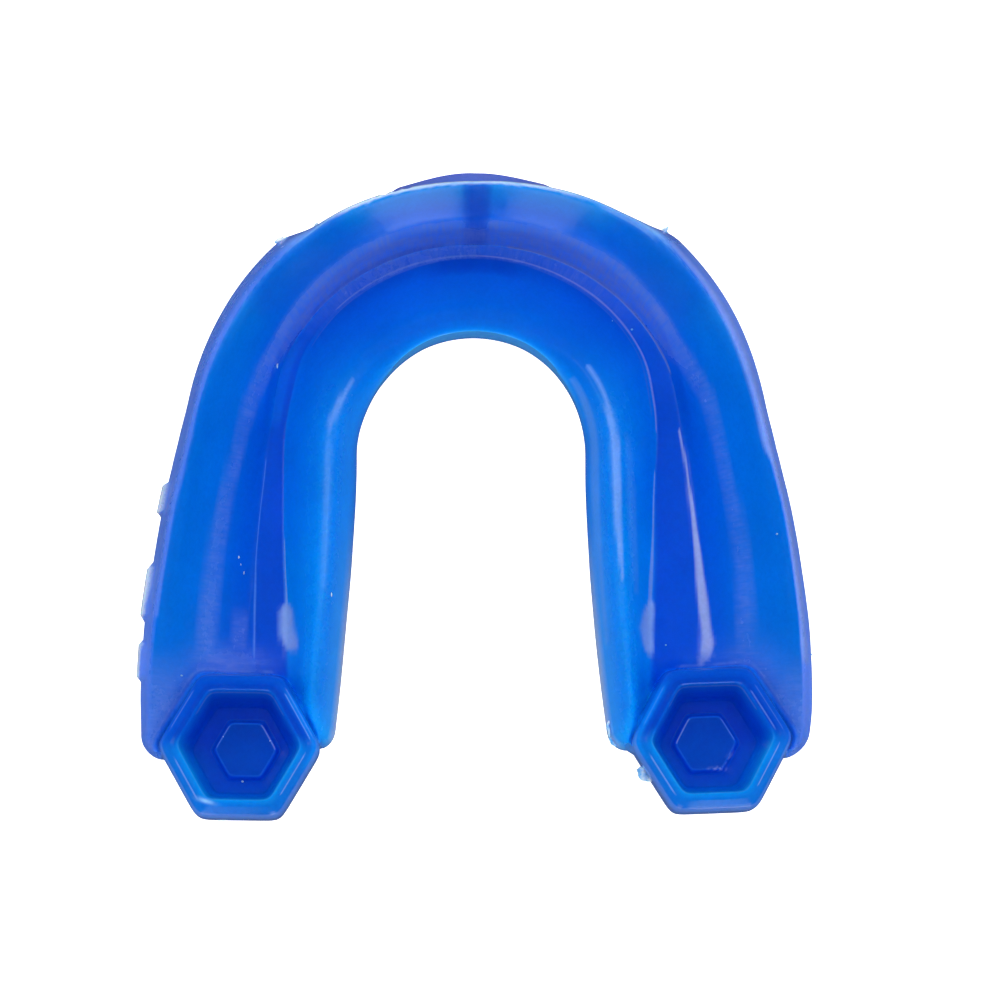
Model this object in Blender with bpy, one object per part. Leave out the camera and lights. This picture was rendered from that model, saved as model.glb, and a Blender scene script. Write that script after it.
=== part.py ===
"""Mouthguard: one moulded piece.

A tooth trough is swept along a dental arch: a low tongue-side wall, a narrow
flat floor between two creases, and a taller, outward-leaning outer flange.
Each arm ends in a raised hexagonal boss with a deep hexagonal cup, and a small
hexagonal plateau stands on the cup's floor. The underside is flat.

The upper surface is one height over the plan, sampled on rows that run along
the arch and on hexagonal rings, and triangulated in the plan view. A wall goes
down from its edge to the flat underside.

All dimensions below are in millimetres; the mesh is in metres.
Frame: +Z up (the trough opens up), +Y towards the lips, the arms point to -Y,
X across; the origin is under the middle of the overall box.
"""
import math

import bmesh
import bpy
import numpy as np
from mathutils import Vector
from mathutils.geometry import delaunay_2d_cdt

for old in list(bpy.data.objects):
    bpy.data.objects.remove(old, do_unlink=True)

# ---------------------------------------------------------------- dimensions
MM = 0.001
ARCH_Y = 5.0            # centre of the arch's round front part
ARCH_R = 22.0           # radius on which the station s is measured
ARM_S = ARCH_R * math.pi / 2   # station where the straight arm begins
SHIFT = (-0.07, -0.38)  # puts the origin under the middle of the box

# Section dimensions along the arch: (station, value).
TONGUE_EDGE = ((0, 11.82), (8, 11.78), (14, 11.62), (20, 11.44), (28, 11.30), (36, 11.30), (45, 11.68), (51, 12.15), (57, 12.72), (62, 13.30))
TONGUE_CREST = ((0, 13.02), (12, 13.10), (20, 13.5), (28, 13.6), (36, 13.85), (49, 14.35), (55, 14.9), (62, 15.5))
CREASE_IN = ((0, 20.0), (14, 19.95), (22, 19.6), (28, 18.75), (34, 18.35), (45, 18.1), (54, 17.7), (62, 17.6))
CREASE_OUT = ((0, 21.1), (14, 21.25), (24, 21.1), (31, 20.5), (36, 20.95), (41, 21.5), (46, 21.85), (54, 22.0), (62, 21.9))
RIM = ((0, 24.9), (4, 25.08), (8, 25.42), (12, 25.72), (15, 25.85), (20, 26.15), (26, 26.6), (31, 27.1), (36, 28.1), (41, 29.3), (45, 30.0), (52, 31.0), (58, 31.5), (64, 31.6))
WIDEST = ((0, 25.9), (4, 26.1), (8, 26.42), (12, 26.8), (14, 27.25), (15, 27.7), (16, 28.22), (17, 28.42), (20, 28.45), (26, 28.5), (31, 28.65), (36, 29.75), (40, 30.68), (45.5, 31.62), (53.4, 32.55), (59, 32.74), (64, 32.48))

TONGUE_EDGE_Z = ((0, 6.1), (12, 6.05), (20, 4.9), (34, 3.0), (62, 3.0))
TONGUE_CREST_Z = ((0, 6.4), (14, 6.6), (28, 7.7), (36, 8.4), (50, 8.3), (57, 7.6), (62, 6.6))
FLOOR_Z = ((0, 3.1), (62, 3.3))
RIM_Z = ((0, 14.5), (14, 14.5), (20, 13.7), (30, 12.5), (40, 12.0), (48, 11.0), (53, 9.7), (57, 8.2), (61, 7.0), (65, 6.4))
WIDEST_Z = ((0, 8.0), (20, 8.0), (30, 7.5), (40, 6.5), (56, 6.0), (65, 4.6))

# The right arm is a little fuller than the left one: half of the difference.
FULLER_EDGE = ((0, 0), (14, 0.04), (24, 0.16), (34, 0.30), (50, 0.30), (62, 0.16))
FULLER_CREASE_IN = ((0, 0), (24, 0.1), (40, 0.5), (62, 0.4))
FULLER_CREASE_OUT = ((0, 0), (24, 0.1), (40, 0.38), (62, 0.4))
FULLER_WIDEST = ((0, 0), (4, 0.08), (8, 0.16), (12, 0.22), (15, 0.42), (18, 0.35), (24, 0.3), (30, 0.22), (45, 0.35), (60, 0.32), (64, 0.16))

# Section shapes: (part of the width, part of the height).
TONGUE_FACE = ((0, 0), (0.12, 0.26), (0.35, 0.56), (0.62, 0.83), (0.84, 0.97), (1, 1))
TONGUE_SLOPE = ((0, 1), (0.14, 0.965), (0.4, 0.72), (0.7, 0.33), (0.9, 0.09), (1, 0))
FOOT = ((0, 0.30), (30, 0.30), (48, 0.35), (53, 0.9), (56, 1.1), (62, 0.8))   # half width of the rounding at both creases
FOOT_LIFT = 0.22        # how much the rounding raises a crease, as a part of its half width
FLANGE_FRONT = ((0, 0), (0.06, 0.20), (0.14, 0.53), (0.26, 0.66), (0.5, 0.80), (0.75, 0.925), (0.9, 0.985), (1, 1))
FLANGE_ARM = ((0, 0), (0.06, 0.03), (0.14, 0.085), (0.28, 0.20), (0.5, 0.42), (0.75, 0.715), (0.9, 0.93), (0.96, 0.985), (1, 1))
OUTER_FACE = ((0, 1), (0.12, 0.975), (0.3, 0.88), (0.55, 0.62), (0.8, 0.30), (1, 0))

END_OUTER = {-1: (62.85, 2.1), 1: (62.2, 2.3)}   # rounding of the lobe beside each boss: start, radius
END_INNER = {-1: (61.85, 2.0), 1: (61.75, 2.0)}

# Plain pads on the outer face: side, station, half length, middle, half height, thickness.
PADS = (
    (0, -0.45, 6.95, 7.3, 3.3, 1.22),
    (-1, 39.8, 1.5, 6.6, 1.7, 0.50),
    (-1, 48.9, 2.6, 6.3, 1.8, 0.50),
    (-1, 55.6, 1.8, 5.9, 1.6, 0.42),
)

PAD_THINS = 0.55        # how much thinner the front pad is at its ends

# Hexagonal bosses: centre, and distances across half flats.
CUPS = {-1: (-22.72, -24.34), 1: (23.22, -23.44)}
CUP_TURN = {-1: -0.5, 1: 2.5}   # degrees
BOSS_HALF = 7.00
HEX_ROUND = 20          # higher is sharper corners
BOSS_PROFILE = (        # (half flats, height)
    (0.0, 2.15), (2.52, 2.15), (2.66, 2.05), (2.92, 1.35), (3.08, 1.25),
    (4.20, 1.38), (4.42, 1.60), (4.60, 2.30), (5.05, 6.10), (5.18, 6.90), (5.32, 7.40),
    (5.46, 7.50), (5.66, 7.50), (5.95, 7.42), (6.50, 7.12), (6.76, 6.80), (6.90, 6.40), (7.00, 5.75),
)
MIDDLE = {-1: 0.45, 1: -0.35}   # the raised middle sits this far off the cup's centre
MOAT_DEPTH, MOAT_WIDTH = 0.35, 1.7
STEP_WIDTH = 0.35

WALL = ((0.0, 1.0), (0.0, 0.80), (0.02, 0.60), (0.05, 0.42), (0.12, 0.24), (0.30, 0.09), (0.75, 0.0))  # (inset, part of height)

# Sampling
STEP_S = 2.0
RING_N = 42
ROWS = {
    "tongue_face": (0.12, 0.35, 0.62, 1.0),
    "tongue_slope": (0.2, 0.45, 0.72, 0.92, 1.0),
    "floor": (0.5, 1.0),
    "flange": (0.06, 0.14, 0.26, 0.42, 0.58, 0.75, 0.9, 1.0),
    "outer": (0.12, 0.3, 0.6, 1.0),
}
RINGS = (2.52, 2.92, 4.20, 4.60, 5.05, 5.32, 5.66, 5.95, 6.50, 6.76, 6.90)
OUT_RINGS = (0.2, 0.5, 1.1)


# ------------------------------------------------------------------ functions
def curve(table, x):
    """Smooth curve through a table's points that adds no extra bumps."""
    xs = np.array([p[0] for p in table], float)
    ys = np.array([p[1] for p in table], float)
    h = np.diff(xs)
    d = np.diff(ys) / h
    m = np.zeros(len(xs))
    m[0], m[-1] = d[0], d[-1]
    if len(xs) > 2:
        same = d[:-1] * d[1:] > 0
        w1, w2 = 2 * h[1:] + h[:-1], h[1:] + 2 * h[:-1]
        inner = np.zeros(len(d) - 1)
        inner[same] = (w1 + w2)[same] / (w1[same] / d[:-1][same] + w2[same] / d[1:][same])
        m[1:-1] = inner
    x = np.clip(np.asarray(x, float), xs[0], xs[-1])
    i = np.clip(np.searchsorted(xs, x, side="right") - 1, 0, len(h) - 1)
    t = (x - xs[i]) / h[i]
    t2, t3 = t * t, t * t * t
    return ((2 * t3 - 3 * t2 + 1) * ys[i] + (t3 - 2 * t2 + t) * h[i] * m[i]
            + (3 * t2 - 2 * t3) * ys[i + 1] + (t3 - t2) * h[i] * m[i + 1])


def smooth(t):
    t = np.clip(t, 0.0, 1.0)
    return t * t * (3 - 2 * t)


def place(s, u, side):
    """Plan position of a point at station s and distance u from the arch's centre line."""
    s, u = np.asarray(s, float), np.asarray(u, float)
    a = np.minimum(s, ARM_S) / ARCH_R
    x = side * u * np.sin(a)
    y = ARCH_Y + u * np.cos(a) - np.maximum(s - ARM_S, 0.0)
    x = np.where(s >= ARM_S, side * u, x)
    y = np.where(s >= ARM_S, ARCH_Y - (s - ARM_S), y)
    return x, y


def locate(x, y):
    """Station, distance and side of a plan position."""
    x, y = np.asarray(x, float), np.asarray(y, float)
    front = y > ARCH_Y
    s = np.where(front, ARCH_R * np.arctan2(np.abs(x), y - ARCH_Y), ARM_S + ARCH_Y - y)
    u = np.where(front, np.hypot(x, y - ARCH_Y), np.abs(x))
    return s, u, np.where(x < 0, -1.0, 1.0)


def section(s, side):
    """The section's corner points at a station: distances and heights."""
    sec = {
        "edge": curve(TONGUE_EDGE, s) - side * curve(FULLER_EDGE, s),
        "crest": curve(TONGUE_CREST, s) - side * curve(FULLER_EDGE, s),
        "in": curve(CREASE_IN, s) - side * curve(FULLER_CREASE_IN, s),
        "out": curve(CREASE_OUT, s) + side * curve(FULLER_CREASE_OUT, s),
        "rim": curve(RIM, s) + side * curve(FULLER_WIDEST, s),
        "wide": curve(WIDEST, s) + side * curve(FULLER_WIDEST, s),
        "edge_z": curve(TONGUE_EDGE_Z, s),
        "crest_z": curve(TONGUE_CREST_Z, s),
        "floor_z": curve(FLOOR_Z, s),
        "rim_z": curve(RIM_Z, s),
        "wide_z": curve(WIDEST_Z, s),
    }
    s0, r = END_OUTER[side]
    e = np.clip((s - s0) / r, 0, 1)
    drop = r * (1 - np.sqrt(1 - e * e))
    sec["wide"] = sec["wide"] - drop
    sec["rim"] = np.minimum(sec["rim"], sec["wide"] - 0.85)
    s0, r = END_INNER[side]
    e = np.clip((s - s0) / r, 0, 1)
    drop = r * (1 - np.sqrt(1 - e * e))
    sec["edge"] = sec["edge"] + drop
    sec["crest"] = np.maximum(sec["crest"], sec["edge"] + 1.2)
    sec["in"] = np.maximum(sec["in"], sec["crest"] + 0.8)
    return sec


def foot(u, s, q):
    """Rounding added at the two creases."""
    w = curve(FOOT, s)
    lift = np.zeros(np.broadcast(u, w).shape)
    for crease in ("in", "out"):
        d = np.clip(np.abs(u - q[crease]) / w, 0, 1)
        lift = np.maximum(lift, FOOT_LIFT * w * (1 - d) ** 2)
    return lift


def part_of_section(name, t, s, side):
    """Distance and height at part t of one stretch of the section."""
    q = section(s, side)
    t = np.asarray(t, float)
    if name == "tongue_face":
        return (q["edge"] + t * (q["crest"] - q["edge"]),
                q["edge_z"] + curve(TONGUE_FACE, t) * (q["crest_z"] - q["edge_z"]))
    if name == "tongue_slope":
        u = q["crest"] + t * (q["in"] - q["crest"])
        return u, q["floor_z"] + curve(TONGUE_SLOPE, t) * (q["crest_z"] - q["floor_z"]) + foot(u, s, q)
    if name == "floor":
        u = q["in"] + t * (q["out"] - q["in"])
        return u, q["floor_z"] + foot(u, s, q)
    if name == "flange":
        b = smooth((s - 12.0) / 24.0)
        h = (1 - b) * curve(FLANGE_FRONT, t) + b * curve(FLANGE_ARM, t)
        z = q["floor_z"] + h * (q["rim_z"] - q["floor_z"])
        u = q["out"] + t * (q["rim"] - q["out"])
        return u, z + foot(u, s, q)
    u = q["rim"] + t * (q["wide"] - q["rim"])
    z = q["wide_z"] + curve(OUTER_FACE, t) * (q["rim_z"] - q["wide_z"])
    return u + pad(s, z, side) * smooth(t / 0.3), z


def pad(s, z, side):
    """How far the plain pads stand out of the outer face."""
    out = np.zeros(np.broadcast(s, z).shape)
    for where, s0, half, z0, tall, thick in PADS:
        if where not in (0, side):
            continue
        along = side * s if where == 0 else s
        a = np.abs(along - s0) / half
        b = np.abs(z - z0) / tall
        r = (a ** 6 + b ** 6) ** (1 / 6)
        if where == 0:
            thick = thick * (1 - PAD_THINS * smooth(a))
        out = np.maximum(out, thick * smooth((1.12 - r) / 0.24))
    return out


def hexagon(x, y, side):
    """Half-flats size of the rounded hexagon through a point."""
    cx, cy = CUPS[side]
    x, y = np.asarray(x, float) - cx, np.asarray(y, float) - cy
    total = np.zeros(np.broadcast(x, y).shape)
    for k in range(3):
        a = math.radians(90 + CUP_TURN[side] + 60 * k)
        total = total + np.abs(x * math.cos(a) + y * math.sin(a)) ** HEX_ROUND
    return total ** (1 / HEX_ROUND)


def ring(size, side, n):
    """Points of a hexagonal ring, closer together at its corners."""
    cx, cy = CUPS[side]
    off = MIDDLE[side] if size < 3.5 else 0.0
    per = n // 6
    pts = []
    for k in range(6):
        for j in range(per):
            t = 2 * j / per - 1
            a = math.radians(CUP_TURN[side] + 60 * k + 30 + 30 * (1.35 * t - 0.35 * t ** 3))
            c, d = math.cos(a), math.sin(a)
            r = size / float(hexagon(cx + c, cy + d, side))
            pts.append((cx + off + r * c, cy + r * d))
    return pts


def arm_height(x, y):
    """Height of the trough at a plan position on an arm."""
    s, u, side = locate(x, y)
    z = np.zeros(np.shape(s))
    for sd in (-1, 1):
        q = section(s, sd)
        pieces = (("edge", "crest", "tongue_face"), ("crest", "in", "tongue_slope"), ("in", "out", "floor"),
                  ("out", "rim", "flange"), ("rim", "wide", "outer"))
        zz = np.where(u < q["edge"], q["edge_z"], q["wide_z"])
        for a, b, name in pieces:
            t = np.clip((u - q[a]) / (q[b] - q[a]), 0, 1)
            zz = np.where((u >= q[a]) & (u <= q[b]), part_of_section(name, t, s, sd)[1], zz)
        z = np.where(side == sd, zz, z)
    return z


def blended(z, x, y, side):
    """Height of the trough, lowered round the boss and led into its edge."""
    h = hexagon(x, y, side) - BOSS_HALF
    low = z - MOAT_DEPTH * (1 - smooth(h / MOAT_WIDTH))
    k = 1 - smooth(h / STEP_WIDTH)
    return low + (BOSS_PROFILE[-1][1] - low) * k


def boss_height(size):
    xs = [p[0] for p in BOSS_PROFILE]
    zs = [p[1] for p in BOSS_PROFILE]
    return float(np.interp(size, xs, zs))


def stations(side=0):
    """Stations along one arm; on the outer face they are closer together at the pads' ends."""
    last = ARM_S + ARCH_Y - min(c[1] for c in CUPS.values())
    s = list(np.linspace(0, last, int(round(last / STEP_S)) + 1))
    if side:
        for where, s0, half, *_ in PADS:
            ends = [s0 + half * k for k in (-1.14, -1.0, -0.86, 0.86, 1.0, 1.14)]
            if where == 0:
                ends = [abs(v) for v in ends if v * side > 0]
            elif where != side:
                continue
            s = [v for v in s if min(abs(v - e) for e in ends) > 0.45] + ends
    return sorted(s)


def edge_chain(side, kind):
    """Plan outline of one arm's outer or tongue-side edge, front to end, up to the boss."""
    s_end = sum(END_OUTER[side] if kind == "wide" else END_INNER[side])
    base = [s for s in stations(side if kind == "wide" else 0) if s < s_end - 3.4]
    n = max(4, int(round((s_end - base[-1]) / (0.5 * STEP_S))))
    tail = [base[-1] + (s_end - base[-1]) * math.sin(0.5 * math.pi * (k + 1) / n) for k in range(n)]
    s = np.array(base + tail)
    if kind == "wide":
        u, z = part_of_section("outer", np.ones(len(s)), s, side)
    else:
        u, z = part_of_section("tongue_face", np.zeros(len(s)), s, side)
    x, y = place(s, u, side)
    h = hexagon(x, y, side)
    keep = []
    for i in range(len(s)):
        if h[i] <= BOSS_HALF:
            t = (h[i - 1] - BOSS_HALF) / (h[i - 1] - h[i])
            cross = (x[i - 1] + t * (x[i] - x[i - 1]), y[i - 1] + t * (y[i] - y[i - 1]))
            if math.hypot(keep[-1][0] - cross[0], keep[-1][1] - cross[1]) < 0.25 * STEP_S:
                keep.pop()
            keep.append((cross[0], cross[1], BOSS_PROFILE[-1][1], float(s[i]), True))
            break
        zz = float(blended(z[i], x[i], y[i], side))
        keep.append((float(x[i]), float(y[i]), zz, float(s[i]), False))
    return keep


def boss_arc(side, start, end):
    """Points of the boss's edge from one crossing to the other, round its free side."""
    cx, cy = CUPS[side]
    pts = ring(BOSS_HALF, side, RING_N)
    turn = -side
    a0 = math.atan2(start[1] - cy, start[0] - cx)
    a1 = math.atan2(end[1] - cy, end[0] - cx)
    span = (turn * (a1 - a0)) % (2 * math.pi)
    arc = []
    for px, py in pts:
        a = (turn * (math.atan2(py - cy, px - cx) - a0)) % (2 * math.pi)
        if 0.05 < a < span - 0.05:
            arc.append((a, px, py))
    arc.sort()
    return [(px, py, BOSS_PROFILE[-1][1], 70.0, True) for _, px, py in arc]


def outline():
    """The closed plan outline, counter-clockwise: x, y, height, station, on boss, side, outer."""
    loop = []
    chains = {(sd, kd): edge_chain(sd, kd) for sd in (-1, 1) for kd in ("wide", "edge")}
    # right side: outer edge front to end, boss, tongue side back
    right = [(*p, 1, True) for p in chains[(1, "wide")]]
    right += [(*p, 1, False) for p in boss_arc(1, chains[(1, "wide")][-1], chains[(1, "edge")][-1])]
    right += [(*p, 1, False) for p in reversed(chains[(1, "edge")])]
    left = [(*p, -1, False) for p in chains[(-1, "edge")][1:]]
    left += [(*p, -1, False) for p in reversed(boss_arc(-1, chains[(-1, "wide")][-1], chains[(-1, "edge")][-1]))]
    left += [(*p, -1, True) for p in reversed(chains[(-1, "wide")][1:])]
    loop = right + left
    area = sum(loop[i - 1][0] * loop[i][1] - loop[i][0] * loop[i - 1][1] for i in range(len(loop)))
    if area < 0:
        loop.reverse()
    return loop


def inside(loop, x, y):
    """Whether plan points are inside a closed loop."""
    xs = np.array([p[0] for p in loop])
    ys = np.array([p[1] for p in loop])
    xn, yn = np.roll(xs, -1), np.roll(ys, -1)
    x, y = np.asarray(x, float)[:, None], np.asarray(y, float)[:, None]
    cross = ((ys > y) != (yn > y)) & (x < (xn - xs) * (y - ys) / np.where(yn == ys, 1e-12, yn - ys) + xs)
    return cross.sum(1) % 2 == 1


def far_from(loop, x, y, gap):
    """Whether plan points are at least gap from the loop's edges."""
    a = np.array([(p[0], p[1]) for p in loop])
    b = np.roll(a, -1, axis=0)
    p = np.stack([np.asarray(x, float), np.asarray(y, float)], -1)[:, None, :]
    ab = b - a
    t = np.clip(((p - a) * ab).sum(-1) / (ab * ab).sum(-1), 0, 1)
    return np.sqrt(((p - (a + t[..., None] * ab)) ** 2).sum(-1)).min(1) > gap


def build_mesh(name):
    loop = outline()
    points = [(p[0], p[1]) for p in loop]
    heights = [p[2] for p in loop]
    edges = []

    def add(x, y, z):
        points.append((float(x), float(y)))
        heights.append(float(z))
        return len(points) - 1

    # rows along the arch
    order = ("tongue_face", "tongue_slope", "floor", "flange", "outer")
    for side in (-1, 1):
        for part in order:
            s = np.array(stations(side if part == "outer" else 0))
            if side < 0:
                s = s[1:]
            for t in ROWS[part]:
                if part == "outer" and t == 1.0:
                    continue
                u, z = part_of_section(part, np.full(len(s), t), s, side)
                x, y = place(s, u, side)
                h = hexagon(x, y, side)
                ok = (h > BOSS_HALF + OUT_RINGS[-1] + 0.25 * STEP_S) & inside(loop, x, y) & far_from(loop, x, y, 0.12)
                z = blended(z, x, y, side)
                crisp = (part, t) in (("tongue_slope", 1.0), ("floor", 1.0), ("flange", 1.0))
                before = None
                for i in range(len(s)):
                    if not ok[i]:
                        before = None
                        continue
                    k = add(x[i], y[i], z[i])
                    if crisp and before is not None:
                        edges.append((before, k))
                    before = k
    # rings round and in each cup
    for side in (-1, 1):
        cx, cy = CUPS[side]
        add(cx + MIDDLE[side], cy, boss_height(0.0))
        for size in RINGS:
            n = RING_N if size > 4 else RING_N // 2
            ids = [add(px, py, boss_height(size)) for px, py in ring(size, side, n)]
            edges += [(ids[i - 1], ids[i]) for i in range(len(ids))]
        pts = ring(BOSS_HALF, side, RING_N)
        px, py = np.array([p[0] for p in pts]), np.array([p[1] for p in pts])
        ok = inside(loop, px, py) & far_from(loop, px, py, 0.15)
        ids = [add(px[i], py[i], BOSS_PROFILE[-1][1]) if ok[i] else None for i in range(len(pts))]
        edges += [(ids[i - 1], ids[i]) for i in range(len(ids)) if ids[i] is not None and ids[i - 1] is not None]
        for away in OUT_RINGS:
            pts = ring(BOSS_HALF + away, side, RING_N)
            px, py = np.array([p[0] for p in pts]), np.array([p[1] for p in pts])
            ok = inside(loop, px, py) & far_from(loop, px, py, 0.3)
            z = blended(arm_height(px, py), px, py, side)
            for i in range(len(pts)):
                if ok[i]:
                    add(px[i], py[i], z[i])
    n = len(loop)
    edges += [(i, (i + 1) % n) for i in range(n)]
    verts, _, tris, origin, _, _ = delaunay_2d_cdt([Vector(p) for p in points], edges, [], 0, 1e-5)
    vx = np.array([v[0] for v in verts])
    vy = np.array([v[1] for v in verts])
    mid = np.array([(vx[list(t)].mean(), vy[list(t)].mean()) for t in tris])
    good = inside(loop, mid[:, 0], mid[:, 1])
    bm = bmesh.new()
    top = {}
    for k, orig in enumerate(origin):
        z = heights[min(orig)] if orig else None
        if z is None:
            side = -1 if vx[k] < 0 else 1
            z = float(arm_height(vx[k], vy[k]))
        top[k] = (vx[k], vy[k], z)
    made = {}

    def vert(k):
        if k not in made:
            x, y, z = top[k]
            made[k] = bm.verts.new(((x + SHIFT[0]) * MM, (y + SHIFT[1]) * MM, z * MM))
        return made[k]

    for t, ok in zip(tris, good):
        if ok:
            a, b, c = t
            if (vx[b] - vx[a]) * (vy[c] - vy[a]) - (vy[b] - vy[a]) * (vx[c] - vx[a]) < 0:
                b, c = c, b
            bm.faces.new((vert(a), vert(b), vert(c)))

    # wall from the outline down to the underside
    where = {}
    for k, orig in enumerate(origin):
        for o in orig:
            if o < n:
                where[o] = k
    rims = [vert(where[i]) for i in range(n)]
    px = np.array([p[0] for p in loop])
    py = np.array([p[1] for p in loop])
    tx, ty = np.roll(px, -1) - np.roll(px, 1), np.roll(py, -1) - np.roll(py, 1)
    length = np.hypot(tx, ty)
    nx, ny = ty / length, -tx / length
    rows = [rims]
    for inset, part in WALL[1:]:
        row = []
        for i, p in enumerate(loop):
            z = p[2] * part
            out = -inset
            if p[6] and not p[4]:
                s = np.array(p[3])
                out += float(pad(s, np.array(z), p[5]) - pad(s, np.array(float(curve(WIDEST_Z, s))), p[5]))
            row.append(bm.verts.new(((px[i] + nx[i] * out + SHIFT[0]) * MM, (py[i] + ny[i] * out + SHIFT[1]) * MM, z * MM)))
        rows.append(row)
    for upper, lower in zip(rows, rows[1:]):
        for i in range(n):
            j = (i + 1) % n
            bm.faces.new((upper[i], lower[i], lower[j]))
            bm.faces.new((upper[i], lower[j], upper[j]))

    # flat underside
    base = rows[-1]
    flat = [Vector((v.co.x / MM, v.co.y / MM)) for v in base]
    verts2, _, tris2, origin2, _, _ = delaunay_2d_cdt(flat, [(i, (i + 1) % n) for i in range(n)], [], 0, 1e-6)
    under = [(v.co.x / MM, v.co.y / MM) for v in base]
    mid = np.array([np.mean([verts2[k][:] for k in t], axis=0) for t in tris2])
    good = inside(under, mid[:, 0], mid[:, 1])
    for t, ok in zip(tris2, good):
        if ok:
            a, b, c = (min(origin2[k]) for k in t)
            pa, pb, pc = flat[a], flat[b], flat[c]
            if (pb - pa).cross(pc - pa) > 0:
                b, c = c, b
            bm.faces.new((base[a], base[b], base[c]))
    mesh = bpy.data.meshes.new(name)
    bm.to_mesh(mesh)
    bm.free()
    return mesh


# -------------------------------------------------------------------- the part
material = bpy.data.materials.new("blue_moulded")
material.use_nodes = True
shader = material.node_tree.nodes["Principled BSDF"]
shader.inputs["Base Color"].default_value = (0.002, 0.11, 0.68, 1.0)
shader.inputs["Roughness"].default_value = 0.28
shader.inputs["Metallic"].default_value = 0.0
material.diffuse_color = (0.002, 0.11, 0.68, 1.0)

body_mesh = build_mesh("mouthguard_body")
body_mesh.materials.append(material)
body = bpy.data.objects.new("mouthguard_body", body_mesh)
bpy.context.scene.collection.objects.link(body)
body_mesh.shade_smooth()
body_mesh.set_sharp_from_angle(angle=math.radians(28))
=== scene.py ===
"""Looks of the mouthguard: one moulded piece of translucent blue plastic, on a plain white table.

The upper surface is the same height over the plan as in the solid model, sampled
finely. Dimensions are in millimetres unless a name says otherwise.
"""
import math

import bmesh
import bpy
import numpy as np
from mathutils import Matrix, Vector
from mathutils.geometry import delaunay_2d_cdt


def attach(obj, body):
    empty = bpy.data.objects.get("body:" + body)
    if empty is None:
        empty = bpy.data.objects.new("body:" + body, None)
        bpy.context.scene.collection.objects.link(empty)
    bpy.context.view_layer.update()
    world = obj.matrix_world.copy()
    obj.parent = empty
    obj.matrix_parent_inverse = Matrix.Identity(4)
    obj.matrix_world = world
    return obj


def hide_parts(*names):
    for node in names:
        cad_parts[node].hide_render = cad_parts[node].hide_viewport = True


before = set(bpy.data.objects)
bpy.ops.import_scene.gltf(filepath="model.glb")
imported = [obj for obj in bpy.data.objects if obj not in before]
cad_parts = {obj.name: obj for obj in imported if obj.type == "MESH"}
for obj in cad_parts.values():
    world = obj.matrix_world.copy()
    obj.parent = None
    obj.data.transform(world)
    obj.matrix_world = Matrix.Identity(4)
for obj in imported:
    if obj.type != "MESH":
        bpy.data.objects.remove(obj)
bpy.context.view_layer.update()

# view and light, in metres
VIEW_FROM = (-0.020, -0.148)      # direction of the camera from the object
VIEW_ROLL = math.radians(0.2)
VIEW_DISTANCE = 0.420
VIEW_SCALE = 4.284
VIEW_AIM = (0.00243, -0.00038, 0.006)
FLOOR_GLOW = 1.0
WORLD = 0.62
LIGHTS = (
    # name, direction (azimuth, elevation, degrees), distance, (width, height), radiance, seen in gloss, lights the surface
    ("top", (90, 80), 0.55, (0.6, 0.6), 1.85, False, True),
    ("left_fill", (180, 22), 0.47, (0.45, 0.28), 1.6, False, True),
    ("right_fill", (0, 22), 0.47, (0.45, 0.28), 1.6, False, True),
    ("front_fill", (-90, -25), 0.47, (0.20, 0.28), 4.0, False, True),
    ("front_left", (-104.6, 5), 1.0, (0.331, 1.30), 1.6, True, False),
    ("front_right", (-74.5, 5), 1.0, (0.366, 1.30), 2.0, True, False),
    ("strip_left", (163, 55), 1.0, (0.12, 0.50), 1.3, True, False),
    ("strip_right", (17, 45), 1.0, (0.12, 0.40), 1.2, True, False),
    ("table", (-90, -89), 0.1, (2.0, 2.0), 0.07, True, False),
)

# ---------------------------------------------------------------- dimensions
MM = 0.001
ARCH_Y = 5.0            # centre of the arch's round front part
ARCH_R = 22.0           # radius on which the station s is measured
ARM_S = ARCH_R * math.pi / 2   # station where the straight arm begins
SHIFT = (-0.07, -0.38)  # puts the origin under the middle of the box

# Section dimensions along the arch: (station, value).
TONGUE_EDGE = ((0, 11.82), (8, 11.78), (14, 11.62), (20, 11.44), (28, 11.30), (36, 11.30), (45, 11.68), (51, 12.15), (57, 12.72), (62, 13.30))
TONGUE_CREST = ((0, 13.02), (12, 13.10), (20, 13.5), (28, 13.6), (36, 13.85), (49, 14.35), (55, 14.9), (62, 15.5))
CREASE_IN = ((0, 20.0), (14, 19.95), (22, 19.6), (28, 18.75), (34, 18.35), (45, 18.1), (54, 17.7), (62, 17.6))
CREASE_OUT = ((0, 21.1), (14, 21.25), (24, 21.1), (31, 20.5), (36, 20.95), (41, 21.5), (46, 21.85), (54, 22.0), (62, 21.9))
RIM = ((0, 24.9), (4, 25.08), (8, 25.42), (12, 25.72), (15, 25.85), (20, 26.15), (26, 26.6), (31, 27.1), (36, 28.1), (41, 29.3), (45, 30.0), (52, 31.0), (58, 31.5), (64, 31.6))
WIDEST = ((0, 25.9), (4, 26.1), (8, 26.42), (12, 26.8), (14, 27.25), (15, 27.7), (16, 28.22), (17, 28.42), (20, 28.45), (26, 28.5), (31, 28.65), (36, 29.75), (40, 30.68), (45.5, 31.62), (53.4, 32.55), (59, 32.74), (64, 32.48))

TONGUE_EDGE_Z = ((0, 6.1), (12, 6.05), (20, 4.9), (34, 3.0), (62, 3.0))
TONGUE_CREST_Z = ((0, 6.4), (14, 6.6), (28, 7.7), (36, 8.4), (50, 8.3), (57, 7.6), (62, 6.6))
FLOOR_Z = ((0, 3.1), (62, 3.3))
RIM_Z = ((0, 14.5), (14, 14.5), (20, 13.7), (30, 12.5), (40, 12.0), (48, 11.0), (53, 9.7), (57, 8.2), (61, 7.0), (65, 6.4))
WIDEST_Z = ((0, 8.0), (20, 8.0), (30, 7.5), (40, 6.5), (56, 6.0), (65, 4.6))

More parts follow.
